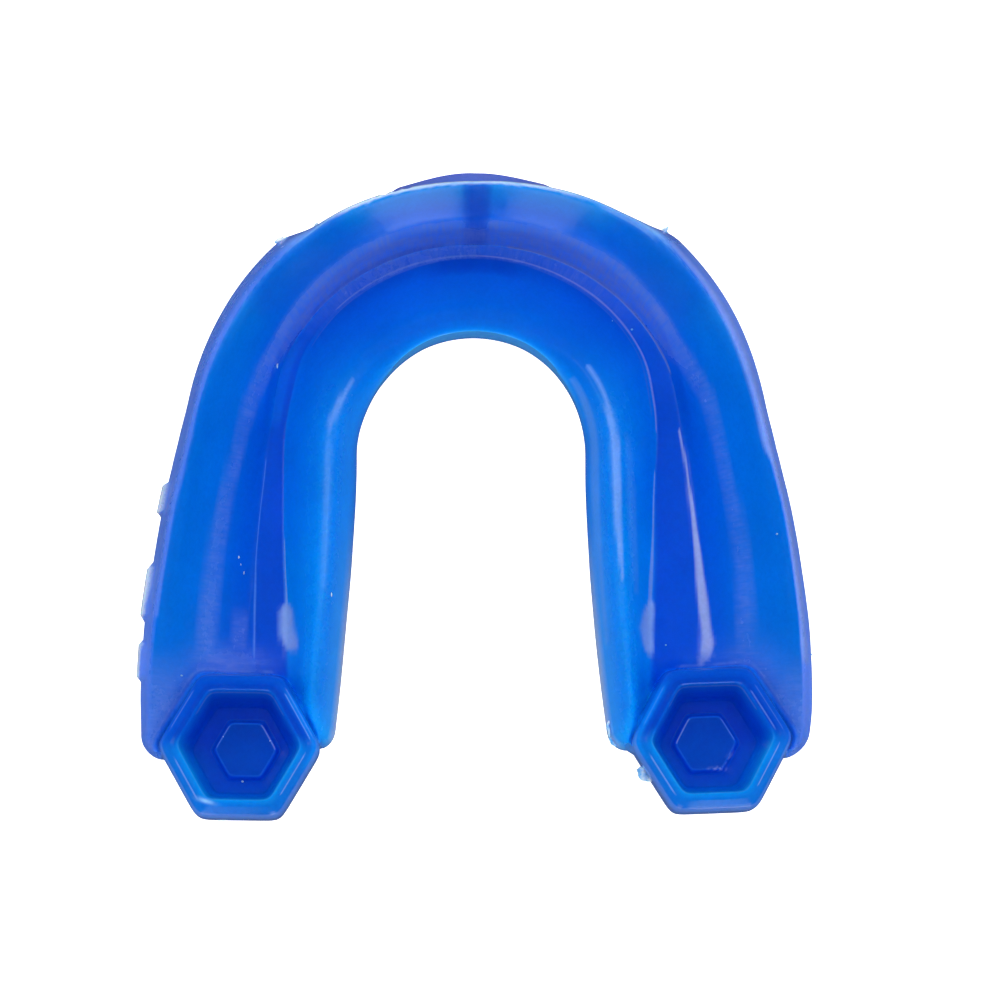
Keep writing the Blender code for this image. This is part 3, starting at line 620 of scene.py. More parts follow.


# Painted lines of gloss, and a few of painted shade, along folds of the surface: fold, side, then stations with half
# width and offset; tint, strength.
WISP = (112, 128, 212)
LINES = (
    ("in", 1, ((-2, 0.06, 0.0), (6, 0.09, 0.0), (20, 0.10, 0.0), (32, 0.06, 0.0)), WISP, 0.85),
    ("in", 1, ((6, 0.05, -0.35), (16, 0.06, -0.42), (30, 0.05, -0.4)), (60, 104, 208), 0.5),
    ("out", 1, ((3, 0.05, 0.0), (8, 0.10, 0.02), (18, 0.10, 0.0), (26, 0.05, 0.0)), (112, 134, 212), 0.85),
    ("out", 1, ((2, 0.05, 0.40), (9, 0.08, 0.45), (16, 0.05, 0.4)), (96, 116, 206), 0.45),
    ("in", -1, ((-1, 0.08, 0.0), (6, 0.12, 0.02), (17, 0.06, 0.0)), (100, 130, 214), 0.7),
    ("in", -1, ((4, 0.05, -0.3), (10, 0.09, -0.38), (22, 0.05, -0.35)), (66, 104, 208), 0.55),
    ("out", -1, ((3, 0.05, 0.06), (8, 0.09, 0.08), (16, 0.08, 0.1), (24, 0.04, 0.1)), (0, 62, 190), 0.7),
    ("out", -1, ((7, 0.06, 0.45), (12, 0.09, 0.48), (22, 0.05, 0.45)), (84, 108, 206), 0.45),
    ("out", -1, ((35, 0.04, 0.0), (44, 0.06, 0.0), (55, 0.08, -0.1), (57.4, 0.12, -0.2)), (70, 128, 224), 0.8),
    ("in", -1, ((43, 0.03, 0.0), (48, 0.07, 0.0), (50.5, 0.11, 0.0), (51.5, 0.1, 0.0)), (112, 150, 224), 0.9),
    ("in", -1, ((49.5, 0.30, 0.1), (50.4, 0.60, 0.1), (52.3, 0.85, 0.1), (53.6, 0.7, -0.25), (54.6, 0.3, -0.55)), (122, 158, 226), 1.0),
    ("in", 1, ((36, 0.04, 0.0), (42, 0.10, 0.0), (47, 0.20, -0.1), (50.5, 0.14, -0.1)), (100, 142, 224), 0.9),
    ("in", 1, ((48.8, 0.15, 0.1), (50.2, 0.5, -0.15), (51.9, 0.75, -0.35), (53.6, 0.5, -0.1), (54.7, 0.2, 0.1)), (116, 154, 224), 1.0),
    ("out", 1, ((31.5, 0.04, -0.3), (37, 0.12, -0.3), (42, 0.28, -0.2), (46.5, 0.40, 0.0), (50.5, 0.46, 0.35), (53.2, 0.60, 0.6), (54.6, 0.5, 0.4), (55.8, 0.15, -0.3)), (142, 160, 220), 1.0),
    ("crest", -1, ((23, 0.08, 0.05), (27, 0.24, 0.12), (30.5, 0.34, 0.32), (32.8, 0.18, 0.35)), (100, 150, 228), 0.75),
    ("crest", -1, ((31.5, 0.16, 0.3), (36, 0.22, 0.2), (43, 0.22, 0.1), (49, 0.12, 0.1)), (62, 140, 226), 0.65),
    ("crest", 1, ((20, 0.06, 0.35), (26, 0.20, 0.35), (30, 0.36, 0.22), (36, 0.46, 0.2), (42, 0.34, 0.22), (48, 0.12, 0.5)), (104, 154, 230), 0.85),
    ("crest", 1, ((32, 0.1, 1.55), (35, 0.3, 1.6), (42, 0.5, 1.7), (49, 0.2, 1.9)), (56, 136, 226), 0.5),
    ("edge", 1, ((20, 0.2, 0.6), (30, 0.3, 0.8), (44, 0.22, 0.8), (54, 0.1, 0.8)), (84, 144, 226), 0.6),
    ("rim", -1, ((14, 0.1, 0.3), (24, 0.25, 0.25), (40, 0.35, 0.2), (52, 0.25, 0.2)), (92, 128, 224), 0.6),
    ("rim", 1, ((17, 0.2, 0.6), (24, 0.5, 0.5), (33, 0.6, 0.3), (35.5, 0.5, 0.3), (37, 0.35, 0.6), (56, 0.4, 0.5)), (126, 154, 228), 0.7),
)
# Small flaws in the moulding: plan position, radii across and along, in millimetres.
SPECKS = (
    (15.62, 17.64, 0.16, 0.16), (13.64, 18.43, 0.09, 0.09), (29.3, -3.9, 0.12, 0.12), (18.9, -13.9, 0.14, 0.14), (-28.44, -17.51, 0.2, 0.1),
    (-22.57, -27.34, 0.18, 0.16), (-19.89, -23.43, 0.1, 0.1), (-24.47, -23.06, 0.07, 0.07), (-19.53, 13.57, 0.1, 0.42), (-13.9, -9.6, 0.08, 0.26),
    (-23.09, -5.60, 0.09, 0.22), (-22.58, -7.08, 0.08, 0.24), (-22.89, -6.29, 0.07, 0.16),
)


def paint(s, u, side, x, y, z):
    """Tint with its painted light and shade, haze with painted sheen, and roughness of the moulding at each point."""
    n = len(s)
    q = {sd: section(s, float(sd)) for sd in (-1, 1)}
    g = {k: np.where(side < 0, q[-1][k], q[1][k]) for k in q[1]}
    marks = ["edge", "crest", "in", "out", "rim", "wide"]
    v = np.zeros(n)
    for i in range(5):
        a, b = g[marks[i]], g[marks[i + 1]]
        v = np.where(u >= a, i + np.clip((u - a) / np.maximum(b - a, 1e-6), 0, 1), v)
    arm = smooth((s - 14.0) / 18.0)          # 0 in the front, 1 on the arms
    arm = np.where(v > 4, smooth((s - 15.0) / 4.0), arm)
    col = (1 - arm) * mix_table(ACROSS_FRONT, v) + arm * mix_table(ACROSS_ARM, v)
    # stronger painted reflection outside the rim on the right arm
    right_sheen = smooth((v - 4.0) / 0.1) * smooth((s - 17.0) / 6.0) * (side > 0)
    col = col + right_sheen * (mix_table(RIGHT_EDGE, v) - col)

    def lay(colour, k):
        nonlocal col
        col = col + np.clip(k, 0, 1) * (np.array(srgb(*colour))[:, None] - col)

    # the front rim: a painted highlight along its pale, uneven edge, and its navy pad with painted shade under the rim
    ragged = 0.5 + 0.5 * np.sin(3.1 * s * side + 1.3 * np.sin(5.3 * s * side)) * np.cos(1.7 * s * side)
    lay((196, 214, 244), hump(s, -1, 9.0 - 2.0 * side, 3.5) * hump(v, 3.96 + 0.04 * ragged, 4.24 + 0.12 * ragged, 0.05) * (0.45 + 0.35 * ragged + 0.25 * (side < 0) * smooth((s - 2.0) / 3.0)))
    # painted shade in the middle of the flange, between its two patches of gloss
    lay((0, 62, 186), hump(np.abs(s), -1, 0.7, 0.9) * hump(v, 3.04, 3.9, 0.12) * 0.75)
    lay((0, 92, 208), hump(s, 13.5, 21, 3.0) * hump(v, 3.4, 3.93, 0.2) * 0.7)
    # painted highlight on the right shoulder's rim
    lay((116, 166, 230), hump(s, 11.5, 15.0, 1.5) * hump(v, 3.94, 4.1, 0.05) * (side > 0) * 0.55)
    lay((0, 100, 218), hump(v, 2.5, 3.0, 0.2) * hump(s, 24, 30, 3.0) * (side < 0) * 0.65)
    # painted shade under the front crease; painted light through the thin slopes beside the tongue
    lay((0, 66, 190), hump(s, -1, 3.0, 3.5) * hump(v, 1.80, 1.98, 0.12) * 0.6)
    lay((0, 140, 234), hump(v, 1.1, 1.93, 0.2) * smooth((s - 38.0) / 9.0) * 0.5)
    # painted glow of light through the thin edge of the tongue side and of the lobes, towards the ends
    upper = smooth((z - g["edge_z"] + 0.9) / 0.8)
    lay((60, 148, 230), (1 - smooth(v / 0.9)) * smooth((s - 38.0) / 14.0) * 0.6 * (0.35 + 0.65 * upper))
    lay((178, 198, 236), (1 - smooth(v / 0.2)) * smooth((s - 40.0) / 14.0) * 0.85 * upper)
    where, s0, half, z0, tall, thick = PADS[0]
    k = pad_one(s, z, side, where, s0, half + 0.3, z0, tall + 1.2, 1.0)
    # navy of the front pad: its thickness, with painted shade under the rim
    lay(NAVY, k * (u > g["wide"] - 0.15) * (z < z0 + tall + 0.6))
    pads = np.zeros(n)
    # pale side pads, paler higher up: painted glow of light through the thin plastic
    for where, s0, half, z0, tall, thick in PADS[1:]:
        k = pad_one(s, z, side, where, s0, half + 0.1, z0, tall + 0.6, 1.0) * smooth((u - g["wide"] - 0.04) / 0.25)
        lay((212, 230, 250), k * (0.5 + 0.4 * smooth((z - z0 + 0.3 * tall) / (0.5 * tall))))
        pads = np.maximum(pads, k)
    # painted gloss and shade lines along folds, broken up a little
    for mark, sd, run, colour, strength in LINES:
        at, half, off = (np.array(c, float) for c in zip(*run))
        w = np.interp(s, at, half)
        d = np.abs(u - g[mark] - np.interp(s, at, off))
        d = d + 0.10 * w * np.sin(0.9 * s + 2 * np.sin(0.35 * s))
        lay(colour, strength * (side == sd) * (1 - smooth((d - 0.55 * w) / (0.8 * w))) * hump(s, at[0] + 0.6, at[-1] - 0.6, 0.6))
    # boss and cup
    boss = np.zeros(n)
    for sd in (-1, 1):
        h = hexagon(x, y, sd)
        h = np.where(h < 3.6, hexagon(x - MIDDLE[sd], y, sd), h)
        near = smooth((BOSS_HALF + 0.62 - h) / 0.6) * (np.sign(x) == sd)
        cx, cy = CUPS[sd]
        ang = np.degrees(np.arctan2(y - cy, x - cx))
        free = smooth((cy - y + 1.4) / 2.6)
        cup = (1 - free) * mix_table(CUP_IN, h) + free * mix_table(CUP_OUT, h)
        # light reaches less of the foot of the boss, which is no darker to the eye
        foot_side = (np.sign(x) == sd) * (h > BOSS_HALF - 0.1)
        col = col * (1 + np.exp(-((h - 7.15) / 0.3) ** 2) * foot_side * np.where((x - cx) * sd < 0, 0.5, 1.3))
        lay((0, 156, 244), np.exp(-((h - 7.6) / 0.8) ** 2) * foot_side * smooth((-(x - cx) * sd - 2.0) / 1.5) * smooth((5.6 - y + cy) / 1.6) * 0.7)
        lay((24, 98, 212), np.exp(-((h - 7.8) / 0.9) ** 2) * foot_side * smooth(((x - cx) * sd + 3.5) / 1.5) * 0.5)
        # painted highlights on the two upper edges of the small hexagon and on its fainter foot, and painted gloss on
        # the rim's shoulders
        col = col + near * (cup - col)
        inner = np.degrees(np.arctan2(y - cy, x - cx - MIDDLE[sd])) - CUP_TURN[sd]
        facet = np.round((inner - 30) / 60) * 60 + 30
        across = inner - facet                   # -30..30 along one flat
        upper_left = (np.abs(facet - 150) < 1)
        upper_right = (np.abs(facet - 30) < 1)
        best, other = (upper_right, upper_left) if sd < 0 else (upper_left, upper_right)
        lay((140, 156, 214), near * best * (1 - smooth(np.abs(h - 2.58) / 0.10)) * hump(across, -26, 26, 4) * 0.9)
        lay((104, 136, 212), near * other * (1 - smooth(np.abs(h - 2.58) / 0.09)) * hump(across, -22, 24, 5) * 0.8)
        lay((30, 92, 196), near * (y < cy) * (1 - smooth(np.abs(h - 2.58) / 0.10)) * 0.5)
        lay((44, 84, 190), near * (y > cy - 1) * (1 - smooth(np.abs(h - 3.08) / 0.07)) * 0.5)
        ang = ang - CUP_TURN[sd]
        # painted highlight: a second line inside the rim, on the arm's side
        lay((74, 116, 206), near * (y > cy + 3.0) * (1 - smooth(np.abs(h - 5.16) / 0.07)) * 0.8)
        # painted glow of light through the thin lip on the free side
        lay((60, 150, 226), near * (y < cy + 2.0) * (1 - smooth(np.abs(h - 5.3) / 0.09)) * 0.7 * free)
        for f0, size, k0, k1, much in ((-150, 6.05, -18, 24, 0.8), (-30, 5.95, -20, 24, 0.8), (30, 6.3, -26, 20, 0.75 if sd < 0 else 0.2), (30, 6.62, -24, 22, 0.6 if sd < 0 else 0.0), (30, 5.62, -24, 20, 0.0 if sd < 0 else 0.5),
                                       (150, 7.5, -18, 22, 0.5 if sd < 0 else 0.15), (150, 6.55, -20, 18, 0.35)):
            a0 = (ang - f0 + 180) % 360 - 180
            lay((124, 156, 224), near * (1 - smooth(np.abs(h - size) / 0.09)) * hump(a0, k0 + 2, k1 - 2, 2) * much)
        if sd > 0:                              # pale streaky mark at the lower right corner of the small hexagon
            wx, wy = x - cx - MIDDLE[sd], y - cy
            pale_mark = np.exp(-(((wx - 1.2) / 0.8) ** 2 + ((wy + 2.5) / 0.16) ** 2)) + np.exp(-(((wx - 2.3 - 0.5 * (wy + 1.4)) / 0.2) ** 2 + ((wy + 1.35) / 0.6) ** 2))
            lay((150, 170, 224), near * np.clip(pale_mark, 0, 1) * (0.45 + 0.55 * np.sin(11.0 * x + 2.5 * np.sin(9.0 * y))) * 0.8)
        # boss shoulder beside the tongue, lit through; a painted highlight line and a painted shade line round the
        # arm's side of the boss
        lay((0, 140, 238), hump(h, 6.5, 7.6, 0.4) * (np.sign(x) == sd) * smooth((-(x - cx) * sd - 2.2) / 1.6) * (1 - smooth((np.abs(y - cy - 1.6) - 2.6) / 1.8)) * 0.5)
        round_arm = (np.sign(x) == sd) * (h > BOSS_HALF + 0.1) * (y > cy + 1.5) * smooth(((x - cx) * sd + 3.6) / 1.0)
        lay((104, 138, 214), round_arm * (1 - smooth(np.abs(h - 7.62 - 0.05 * np.sin(1.7 * x)) / 0.10)) * (0.55 if sd < 0 else 0.4))
        lay((0, 62, 186), round_arm * (1 - smooth(np.abs(h - 7.40) / 0.12)) * ((x - cx) * sd > 1.0) * 0.5)
        if sd < 0:                              # a glint in the lower corner
            gx, gy = x - cx + 3.15, y - cy + 5.45
            lay((150, 196, 236), near * np.exp(-((gx / 0.75) ** 2 + ((gy + 0.3 * gx) / 0.2) ** 2)) * 0.8)
        # free edge: a painted highlight as a paler outer line
        lay((96, 134, 216), near * free * hump(h, 6.72, 6.98, 0.08) * 0.55)
        boss = np.maximum(boss, near)
    lay((0, 84, 206), 1.0 * (z < 0.3))
    # hazy, drag-marked band with painted sheen on the lower flange of the front, half way up it on the arms
    t = np.clip(v - 3.0, 0, 1)
    mid = np.where(side < 0, np.interp(s, (0, 16, 24, 30, 38, 46, 60), (0.12, 0.12, 0.16, 0.33, 0.43, 0.465, 0.50)),
                   np.interp(s, (0, 16, 24, 30, 38, 46, 52, 60), (0.12, 0.12, 0.18, 0.42, 0.45, 0.49, 0.46, 0.46)))
    wide = np.interp(s, (0, 8, 14, 20, 28, 34, 60), (0.14, 0.15, 0.17, 0.16, 0.12, 0.09, 0.11))
    haze_and_sheen = (1 - smooth((np.abs(t - mid) - 0.5 * wide) / (0.8 * wide))) * (v > 2.97)
    front_side = np.where(side < 0, 1.0, 0.7)
    haze_and_sheen = haze_and_sheen * np.where(side < 0, np.interp(s, (0, 14, 22, 27, 33, 40, 58), (0.9, 1.0, 0.9, 0.5, 0.34, 0.43, 0.52)),
                           np.interp(s, (0, 14, 22, 27, 33, 40, 58), (0.9, 1.0, 0.9, 0.45, 0.3, 0.35, 0.42)))
    # painted sheen on the folds between the two front creases
    crease = hump(v, 1.97, 3.0, 0.03) * (1 - smooth((s - 12) / 10)) * front_side * 0.52
    haze_and_sheen = np.maximum(haze_and_sheen, crease) * (1 - boss) * (1 - 0.75 * hump(np.abs(s), -1, 0.7, 0.9) * smooth((t - 0.08) / 0.08))
    # painted sheen and roughness at the end of the trough, before the boss, on the left and fainter on the right
    rough_end_sheen = np.exp(-(((x + 23.6) / 3.2) ** 2 + ((y + 16.2) / 1.5) ** 2)) * (side < 0) * 0.9
    rough_end_sheen = rough_end_sheen + np.exp(-(((x - 26.5) / 3.0) ** 2 + ((y + 17.2) / 2.5) ** 2)) * (side > 0) * 0.6
    haze_and_sheen = np.maximum(haze_and_sheen, rough_end_sheen * (hexagon(x, y, -1) > BOSS_HALF + 0.4) * (hexagon(x, y, 1) > BOSS_HALF + 0.4))
    # painted sheen on the lobes beside the bosses, and on a short notched band before the left one
    lobe = hump(v, 3.25, 4.6, 0.45) * smooth((s - 54.0) / 6.0) * np.where(side < 0, 0.55, 0.5)
    strip = hump(v, 3.10, 3.20, 0.06) * hump(s, 51.5, 58, 2.0) * (side < 0) * 0.4
    haze_and_sheen = np.maximum(np.maximum(haze_and_sheen, lobe), strip) * (1 - boss)
    lay((54, 100, 194), lobe * (1 - boss) * 0.9)
    # painted reflection on the shoulders' rounded outer edge, with a satin roughness
    shoulder = hump(v, 4.15, 5.0, 0.2) * hump(s, 19.0, 30, 3.0) * np.where(side > 0, 0.6, 0.15)
    haze_and_sheen = np.maximum(haze_and_sheen, shoulder)
    # painted sheen outside the rim on the arms
    haze_and_sheen = np.maximum(haze_and_sheen, hump(v, 4.35, 5.0, 0.15) * (s > 30) * 0.35 * (1 - boss) * (1 - pads))
    satin = 0.06 * hump(v, 3.3, 3.95, 0.15) * (1 - smooth((s - 14) / 6)) + 0.5 * hump(v, 0.6, 1.4, 0.3) * smooth((s - 20) / 8)
    matt = np.clip(np.maximum(haze_and_sheen, satin) + 0.3 * smooth((v - 4.0) / 0.2), 0, 1) * (1 - boss)
    return np.clip(col, 0, 1).T, haze_and_sheen, matt, v


def pad_one(s, z, side, where, s0, half, z0, tall, thick):
    along = side * s if where == 0 else s
    a = np.abs(along - s0) / half
    b = np.abs(z - z0) / tall
    r = (a ** 6 + b ** 6) ** (1 / 6)
    out = thick * smooth((1.12 - r) / 0.24)
    if where != 0:
        out = out * (side == where)
    return out


def moulding_material():
    mat = bpy.data.materials.new("moulded_blue")
    mat.use_nodes = True
    nt = mat.node_tree
    nt.nodes.clear()
    N, L = nt.nodes.new, nt.links.new
    out = N("ShaderNodeOutputMaterial")
    sh = N("ShaderNodeBsdfPrincipled")
    L(sh.outputs[0], out.inputs[0])
    geo = N("ShaderNodeTexCoord")

    def attribute(name):
        a = N("ShaderNodeAttribute")
        a.attribute_name = name
        return a

    tint, haze_and_sheen, matt, weave = (attribute(k) for k in ("tint", "haze_and_sheen", "matt", "weave"))

    def noise(scale, detail=3.0, rough=0.5, vec=None, dist=0.0):
        t = N("ShaderNodeTexNoise")
        t.inputs["Scale"].default_value = scale
        t.inputs["Detail"].default_value = detail
        t.inputs["Roughness"].default_value = rough
        t.inputs["Distortion"].default_value = dist
        L(vec if vec is not None else geo.outputs["Object"], t.inputs["Vector"])
        return t

    def ramp(src, lo, hi, a, b):
        m = N("ShaderNodeMapRange")
        m.inputs["From Min"].default_value = lo
        m.inputs["From Max"].default_value = hi
        m.inputs["To Min"].default_value = a
        m.inputs["To Max"].default_value = b
        L(src, m.inputs["Value"])
        return m.outputs["Result"]

    def mathn(op, a, b):
        m = N("ShaderNodeMath")
        m.operation = op
        for i, v in enumerate((a, b)):
            if isinstance(v, (int, float)):
                m.inputs[i].default_value = v
            else:
                L(v, m.inputs[i])
        return m.outputs[0]

    # cloudy colour: slow pigment drift and a fine grain
    cloud = noise(140.0, 3.0, 0.55)
    grain = noise(2600.0, 2.0, 0.6)
    k = mathn("MULTIPLY", ramp(cloud.outputs["Fac"], 0.3, 0.7, 0.94, 1.06), ramp(grain.outputs["Fac"], 0.3, 0.7, 0.95, 1.05))
    mul = N("ShaderNodeVectorMath")
    mul.operation = "SCALE"
    L(tint.outputs["Color"], mul.inputs[0])
    L(k, mul.inputs["Scale"])
    # hazy drag marks, long across the flange and fine along it; they break up the painted sheen as well as the bump
    drag = noise(1.0, 4.0, 0.62, weave.outputs["Vector"])
    blotch = noise(420.0, 3.0, 0.6)
    much = mathn("MULTIPLY", ramp(drag.outputs["Fac"], 0.34, 0.66, 0.5, 1.15), ramp(blotch.outputs["Fac"], 0.3, 0.7, 0.55, 1.1))
    much = mathn("MULTIPLY", much, haze_and_sheen.outputs["Fac"])
    # mix the tint towards the lavender painted sheen
    over = N("ShaderNodeMix")
    over.data_type = "RGBA"
    L(much, over.inputs[0])
    L(mul.outputs[0], over.inputs[6])
    over.inputs[7].default_value = (*srgb(*PAINTED_SHEEN), 1)
    L(over.outputs[2], sh.inputs["Base Color"])
    rough = mathn("ADD", 0.15, mathn("MULTIPLY", matt.outputs["Fac"], 0.24))
    rough = mathn("ADD", rough, ramp(noise(900.0, 3.0, 0.6).outputs["Fac"], 0.35, 0.65, -0.03, 0.04))
    L(rough, sh.inputs["Roughness"])
    fine = mathn("SUBTRACT", noise(3800.0, 3.0, 0.65).outputs["Fac"], 0.5)
    wave = noise(330.0, 2.0, 0.5)
    lines = mathn("MULTIPLY", mathn("SUBTRACT", drag.outputs["Fac"], 0.5), mathn("MULTIPLY", haze_and_sheen.outputs["Fac"], 0.45))
    height = mathn("ADD", mathn("ADD", mathn("MULTIPLY", fine, 0.18), lines), mathn("MULTIPLY", wave.outputs["Fac"], 1.6))
    bump = N("ShaderNodeBump")
    bump.inputs["Strength"].default_value = 0.35
    bump.inputs["Distance"].default_value = 0.00006
    L(height, bump.inputs["Height"])
    L(bump.outputs[0], sh.inputs["Normal"])
    sh.inputs["IOR"].default_value = 1.42
    sh.inputs["Subsurface Weight"].default_value = 0.65
    sh.inputs["Subsurface Radius"].default_value = (0.2, 0.7, 1.2)
    sh.inputs["Subsurface Scale"].default_value = 0.0005
    return mat


def flash_material():
    mat = bpy.data.materials.new("moulding_flash")
    mat.use_nodes = True
    nt = mat.node_tree
    N, L = nt.nodes.new, nt.links.new
    sh = nt.nodes["Principled BSDF"]
    tc = N("ShaderNodeTexCoord")
    t = N("ShaderNodeTexNoise")
    t.inputs["Scale"].default_value = 1500.0
    t.inputs["Detail"].default_value = 3.0
    L(tc.outputs["Object"], t.inputs["Vector"])
    r = N("ShaderNodeValToRGB")
    r.color_ramp.elements[0].position = 0.35
    r.color_ramp.elements[0].color = (*srgb(80, 166, 230), 1)
    r.color_ramp.elements[1].position = 0.7
    r.color_ramp.elements[1].color = (*srgb(225, 240, 252), 1)
    L(t.outputs["Fac"], r.inputs["Fac"])
    L(r.outputs["Color"], sh.inputs["Base Color"])
    m = N("ShaderNodeMapRange")
    m.inputs["To Min"].default_value = 0.25
    m.inputs["To Max"].default_value = 0.45
    L(t.outputs["Fac"], m.inputs["Value"])
    L(m.outputs["Result"], sh.inputs["Roughness"])
    b = N("ShaderNodeBump")
    b.inputs["Strength"].default_value = 0.4
    b.inputs["Distance"].default_value = 0.00008
    L(t.outputs["Fac"], b.inputs["Height"])
    L(b.outputs[0], sh.inputs["Normal"])
    sh.inputs["Subsurface Weight"].default_value = 0.5
    sh.inputs["Subsurface Radius"].default_value = (0.4, 0.8, 1.0)
    sh.inputs["Subsurface Scale"].default_value = 0.0004
    return mat


# Slivers of flash left by the mould: plan points with heights, and the sliver's half thickness at each.
FLASH = (
    (((17.15, 26.35, 9.3), (17.9, 26.22, 9.3), (18.35, 26.22, 9.4), (18.68, 26.42, 9.6), (18.85, 26.72, 9.7)), (0.30, 0.26, 0.24, 0.20, 0.12)),
    (((18.2, 26.3, 9.2), (18.7, 26.15, 9.2), (18.92, 26.0, 9.2)), (0.22, 0.2, 0.14)),
    (((-19.75, 25.0, 8.6), (-19.35, 25.25, 8.8), (-18.8, 25.3, 9.0), (-18.2, 25.42, 9.2)), (0.14, 0.24, 0.2, 0.1)),
    (((-15.9, 25.9, 11.6), (-15.6, 26.12, 11.8), (-15.3, 26.1, 11.8)), (0.14, 0.2, 0.12)),
    (((17.0, -25.9, 4.2), (16.55, -26.25, 4.0), (16.6, -26.75, 3.9), (17.1, -27.1, 3.8), (17.6, -26.9, 3.8)), (0.28, 0.48, 0.55, 0.42, 0.2)),
    (((13.35, -21.4, 4.0), (13.12, -21.95, 4.0), (13.3, -22.5, 4.1), (13.3, -23.05, 4.0)), (0.1, 0.16, 0.12, 0.1)),
    (((13.35, -23.1, 3.8), (13.6, -23.6, 3.8), (14.0, -23.95, 3.8)), (0.1, 0.16, 0.1)),
    (((-26.0, -31.05, 3.0), (-24.7, -31.22, 3.0), (-23.3, -31.2, 3.0)), (0.06, 0.14, 0.06)),
    (((32.75, -14.9, 6.0), (32.92, -15.05, 6.0), (32.8, -15.25, 6.0)), (0.06, 0.12, 0.06)),
)


def sliver(points, sizes, seed):
    """A thin uneven strand along plan points."""
    rng = np.random.default_rng(seed)
    p = np.array(points, float)
    k = np.concatenate([[0], np.cumsum(np.linalg.norm(np.diff(p, axis=0), axis=1))])
    t = np.linspace(0, k[-1], 14)
    line = np.array([np.interp(t, k, p[:, i]) for i in range(3)]).T
    r = np.interp(t, k, sizes) * (1 + 0.18 * rng.standard_normal(len(t)))
    r[0] *= 0.4
    r[-1] *= 0.4
    verts, faces = [], []
    m = 10
    for i in range(len(t)):
        d = line[min(i + 1, len(t) - 1)] - line[max(i - 1, 0)]
        d = d / np.linalg.norm(d)
        side = np.cross(d, (0, 0, 1.0))
        side = side / np.linalg.norm(side)
        up = np.cross(side, d)
        for j in range(m):
            a = 2 * math.pi * j / m
            w = r[i] * (1 + 0.12 * rng.standard_normal())
            verts.append(tuple((line[i] + w * (math.cos(a) * side + 0.7 * math.sin(a) * up) + (SHIFT[0], SHIFT[1], 0)) * MM))
    for i in range(len(t) - 1):
        for j in range(m):
            a, b = i * m + j, i * m + (j + 1) % m
            faces.append((a, a + m, b + m, b))
    faces.append(tuple(range(m)))
    faces.append(tuple(range((len(t) - 1) * m, len(t) * m))[::-1])
    return verts, faces


# ------------------------------------------------------------------- pieces
mesh = build_mesh("mouthguard")
co = np.empty(len(mesh.vertices) * 3)
mesh.vertices.foreach_get("co", co)
co = co.reshape(-1, 3) / MM
px, py, pz = co[:, 0] - SHIFT[0], co[:, 1] - SHIFT[1], co[:, 2]
st, uu, sd = locate(px, py)
# the tint carries painted light and shade; the haze attribute also carries the painted sheen
tint, haze_and_sheen, matt, across = paint(st, uu, sd, px, py, pz)
layer = mesh.color_attributes.new("tint", "FLOAT_COLOR", "POINT")
layer.data.foreach_set("color", np.concatenate([tint, np.ones((len(tint), 1))], 1).ravel())
for name, values in (("haze_and_sheen", haze_and_sheen), ("matt", matt)):
    layer = mesh.attributes.new(name, "FLOAT", "POINT")
    layer.data.foreach_set("value", values)
layer = mesh.attributes.new("weave", "FLOAT_VECTOR", "POINT")
layer.data.foreach_set("vector", np.stack([3.2 * st * sd, 0.55 * uu, 0.3 * pz], 1).ravel())
mesh.materials.append(moulding_material())
guard = bpy.data.objects.new("mouthguard", mesh)
bpy.context.scene.collection.objects.link(guard)
mesh.shade_smooth()
mesh.set_sharp_from_angle(angle=math.radians(32))
# the outer face and its pads stay soft
ends = np.empty(len(mesh.edges) * 2, np.int32)
mesh.edges.foreach_get("vertices", ends)
ends = ends.reshape(-1, 2)
edges_sharp = mesh.attributes["sharp_edge"]
flag = np.empty(len(mesh.edges), bool)
edges_sharp.data.foreach_get("value", flag)
soft = (across[ends] > 4.05).all(1) & (st[ends] < 62.0).all(1) & (pz[ends] > 0.4).all(1)
edges_sharp.data.foreach_set("value", flag & ~soft)
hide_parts("mouthguard_body")
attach(guard, "root")

verts, faces = [], []
for number, (points, sizes) in enumerate(FLASH):
    v, f = sliver(points, sizes, number + 5)
    faces += [tuple(i + len(verts) for i in face) for face in f]
    verts += v
for number, (x, y, across_r, along_r) in enumerate(SPECKS):
    rng = np.random.default_rng(90 + number)
    side = -1 if x < 0 else 1
    px, py = x, y
    size = float(hexagon(px, py, side))
    if size < BOSS_HALF:
        h = size if size > 3.6 else float(hexagon(px - MIDDLE[side], py, side))
        level = boss_height(h)
    else:
        level = float(blended(arm_height(np.array([px]), np.array([py])), np.array([px]), np.array([py]), side)[0])
    first = len(verts)
    rings_, around = 4, 8
    verts.append(((px + SHIFT[0]) * MM, (py + SHIFT[1]) * MM, (level + 0.07) * MM))
    for i in range(1, rings_ + 1):
        for j in range(around):
            a, k = 2 * math.pi * j / around, i / rings_
            wob = 1 + 0.15 * rng.standard_normal()
            verts.append(((px + across_r * k * wob * math.cos(a) + SHIFT[0]) * MM, (py + along_r * k * wob * math.sin(a) + SHIFT[1]) * MM,
                          (level + 0.07 - 0.15 * k * k) * MM))
    for j in range(around):
        faces.append((first, first + 1 + j, first + 1 + (j + 1) % around))
    for i in range(rings_ - 1):
        for j in range(around):
            a, b = first + 1 + i * around + j, first + 1 + i * around + (j + 1) % around
            faces.append((a, a + around, b + around, b))
    faces.append(tuple(first + 1 + (rings_ - 1) * around + j for j in range(around))[::-1])
flash_mesh = bpy.data.meshes.new("moulding_flash")
flash_mesh.from_pydata(verts, [], faces)
flash_mesh.materials.append(flash_material())
flash_mesh.shade_smooth()
flash = bpy.data.objects.new("moulding_flash", flash_mesh)
bpy.context.scene.collection.objects.link(flash)
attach(flash, "root")

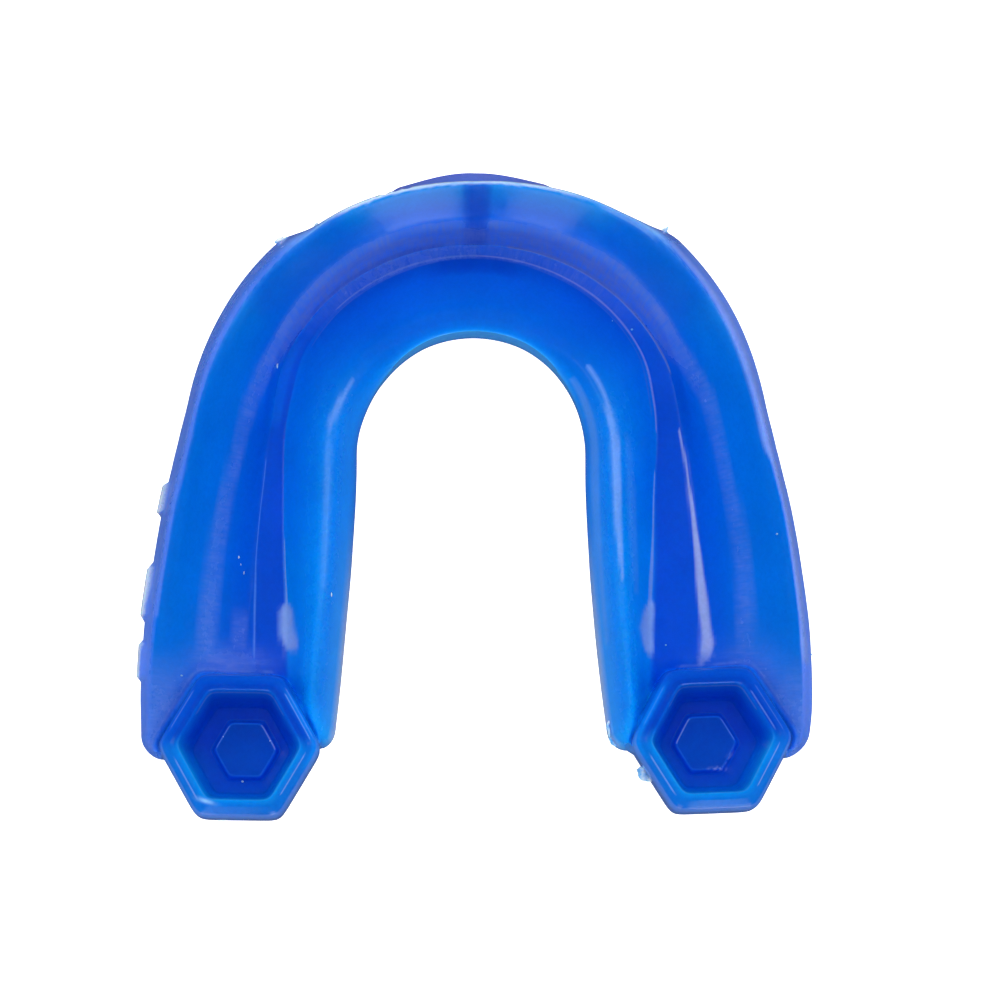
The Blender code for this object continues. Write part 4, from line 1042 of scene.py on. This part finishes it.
# -------------------------------------------------------------------- stage
def plane(name, half, z):
    me = bpy.data.meshes.new(name)
    me.from_pydata([(-half, -half, z), (half, -half, z), (half, half, z), (-half, half, z)], [], [(0, 1, 2, 3)])
    ob = bpy.data.objects.new(name, me)
    bpy.context.scene.collection.objects.link(ob)
    return ob


floor = plane("floor", 1.5, -0.0001)
fm = bpy.data.materials.new("floor_white")
fm.use_nodes = True
fs = fm.node_tree.nodes["Principled BSDF"]
fs.inputs["Base Color"].default_value = (0.9, 0.9, 0.9, 1)
fs.inputs["Roughness"].default_value = 0.9
fs.inputs["Emission Color"].default_value = (1, 1, 1, 1)
fs.inputs["Emission Strength"].default_value = FLOOR_GLOW
floor.data.materials.append(fm)
floor.visible_glossy = False
floor.visible_diffuse = False
floor.visible_shadow = False

world = bpy.data.worlds.new("studio")
bpy.context.scene.world = world
world.use_nodes = True
world.node_tree.nodes["Background"].inputs["Color"].default_value = (1, 1, 1, 1)
world.node_tree.nodes["Background"].inputs["Strength"].default_value = WORLD
world.cycles_visibility.glossy = False


def softbox(name, towards, away, size, radiance, glossy=True, diffuse=True):
    li = bpy.data.lights.new(name, "AREA")
    li.shape = "RECTANGLE"
    li.size, li.size_y = size
    li.energy = radiance * math.pi * size[0] * size[1]
    ob = bpy.data.objects.new(name, li)
    bpy.context.scene.collection.objects.link(ob)
    az, el = (math.radians(a) for a in towards)
    d = Vector((math.cos(az) * math.cos(el), math.sin(az) * math.cos(el), math.sin(el)))
    ob.location = d * away
    ob.rotation_euler = (-d).to_track_quat("-Z", "Y").to_euler()
    ob.visible_glossy = glossy
    ob.visible_diffuse = diffuse
    return ob


for spec in LIGHTS:
    softbox(*spec)

# ------------------------------------------------------------------- camera
def camera():
    n = Vector((VIEW_FROM[0], VIEW_FROM[1], math.sqrt(1 - VIEW_FROM[0] ** 2 - VIEW_FROM[1] ** 2)))
    r = Vector((0, 1, 0)).cross(n).normalized()
    u = n.cross(r)
    c, d = math.cos(VIEW_ROLL), math.sin(VIEW_ROLL)
    r, u = c * r + d * u, c * u - d * r
    aim = Vector(VIEW_AIM)
    pos = aim + VIEW_DISTANCE * n
    cam = bpy.data.cameras.new("camera")
    cam.sensor_width = 36.0
    cam.lens = 36.0 * VIEW_SCALE
    cam.clip_start, cam.clip_end = 0.01, 10.0
    ob = bpy.data.objects.new("camera", cam)
    bpy.context.scene.collection.objects.link(ob)
    m = Matrix((r, u, n)).transposed().to_4x4()
    m.translation = pos
    ob.matrix_world = m
    bpy.context.scene.camera = ob


camera()
bpy.context.scene.view_settings.view_transform = "Standard"
bpy.context.scene.view_settings.look = "None"
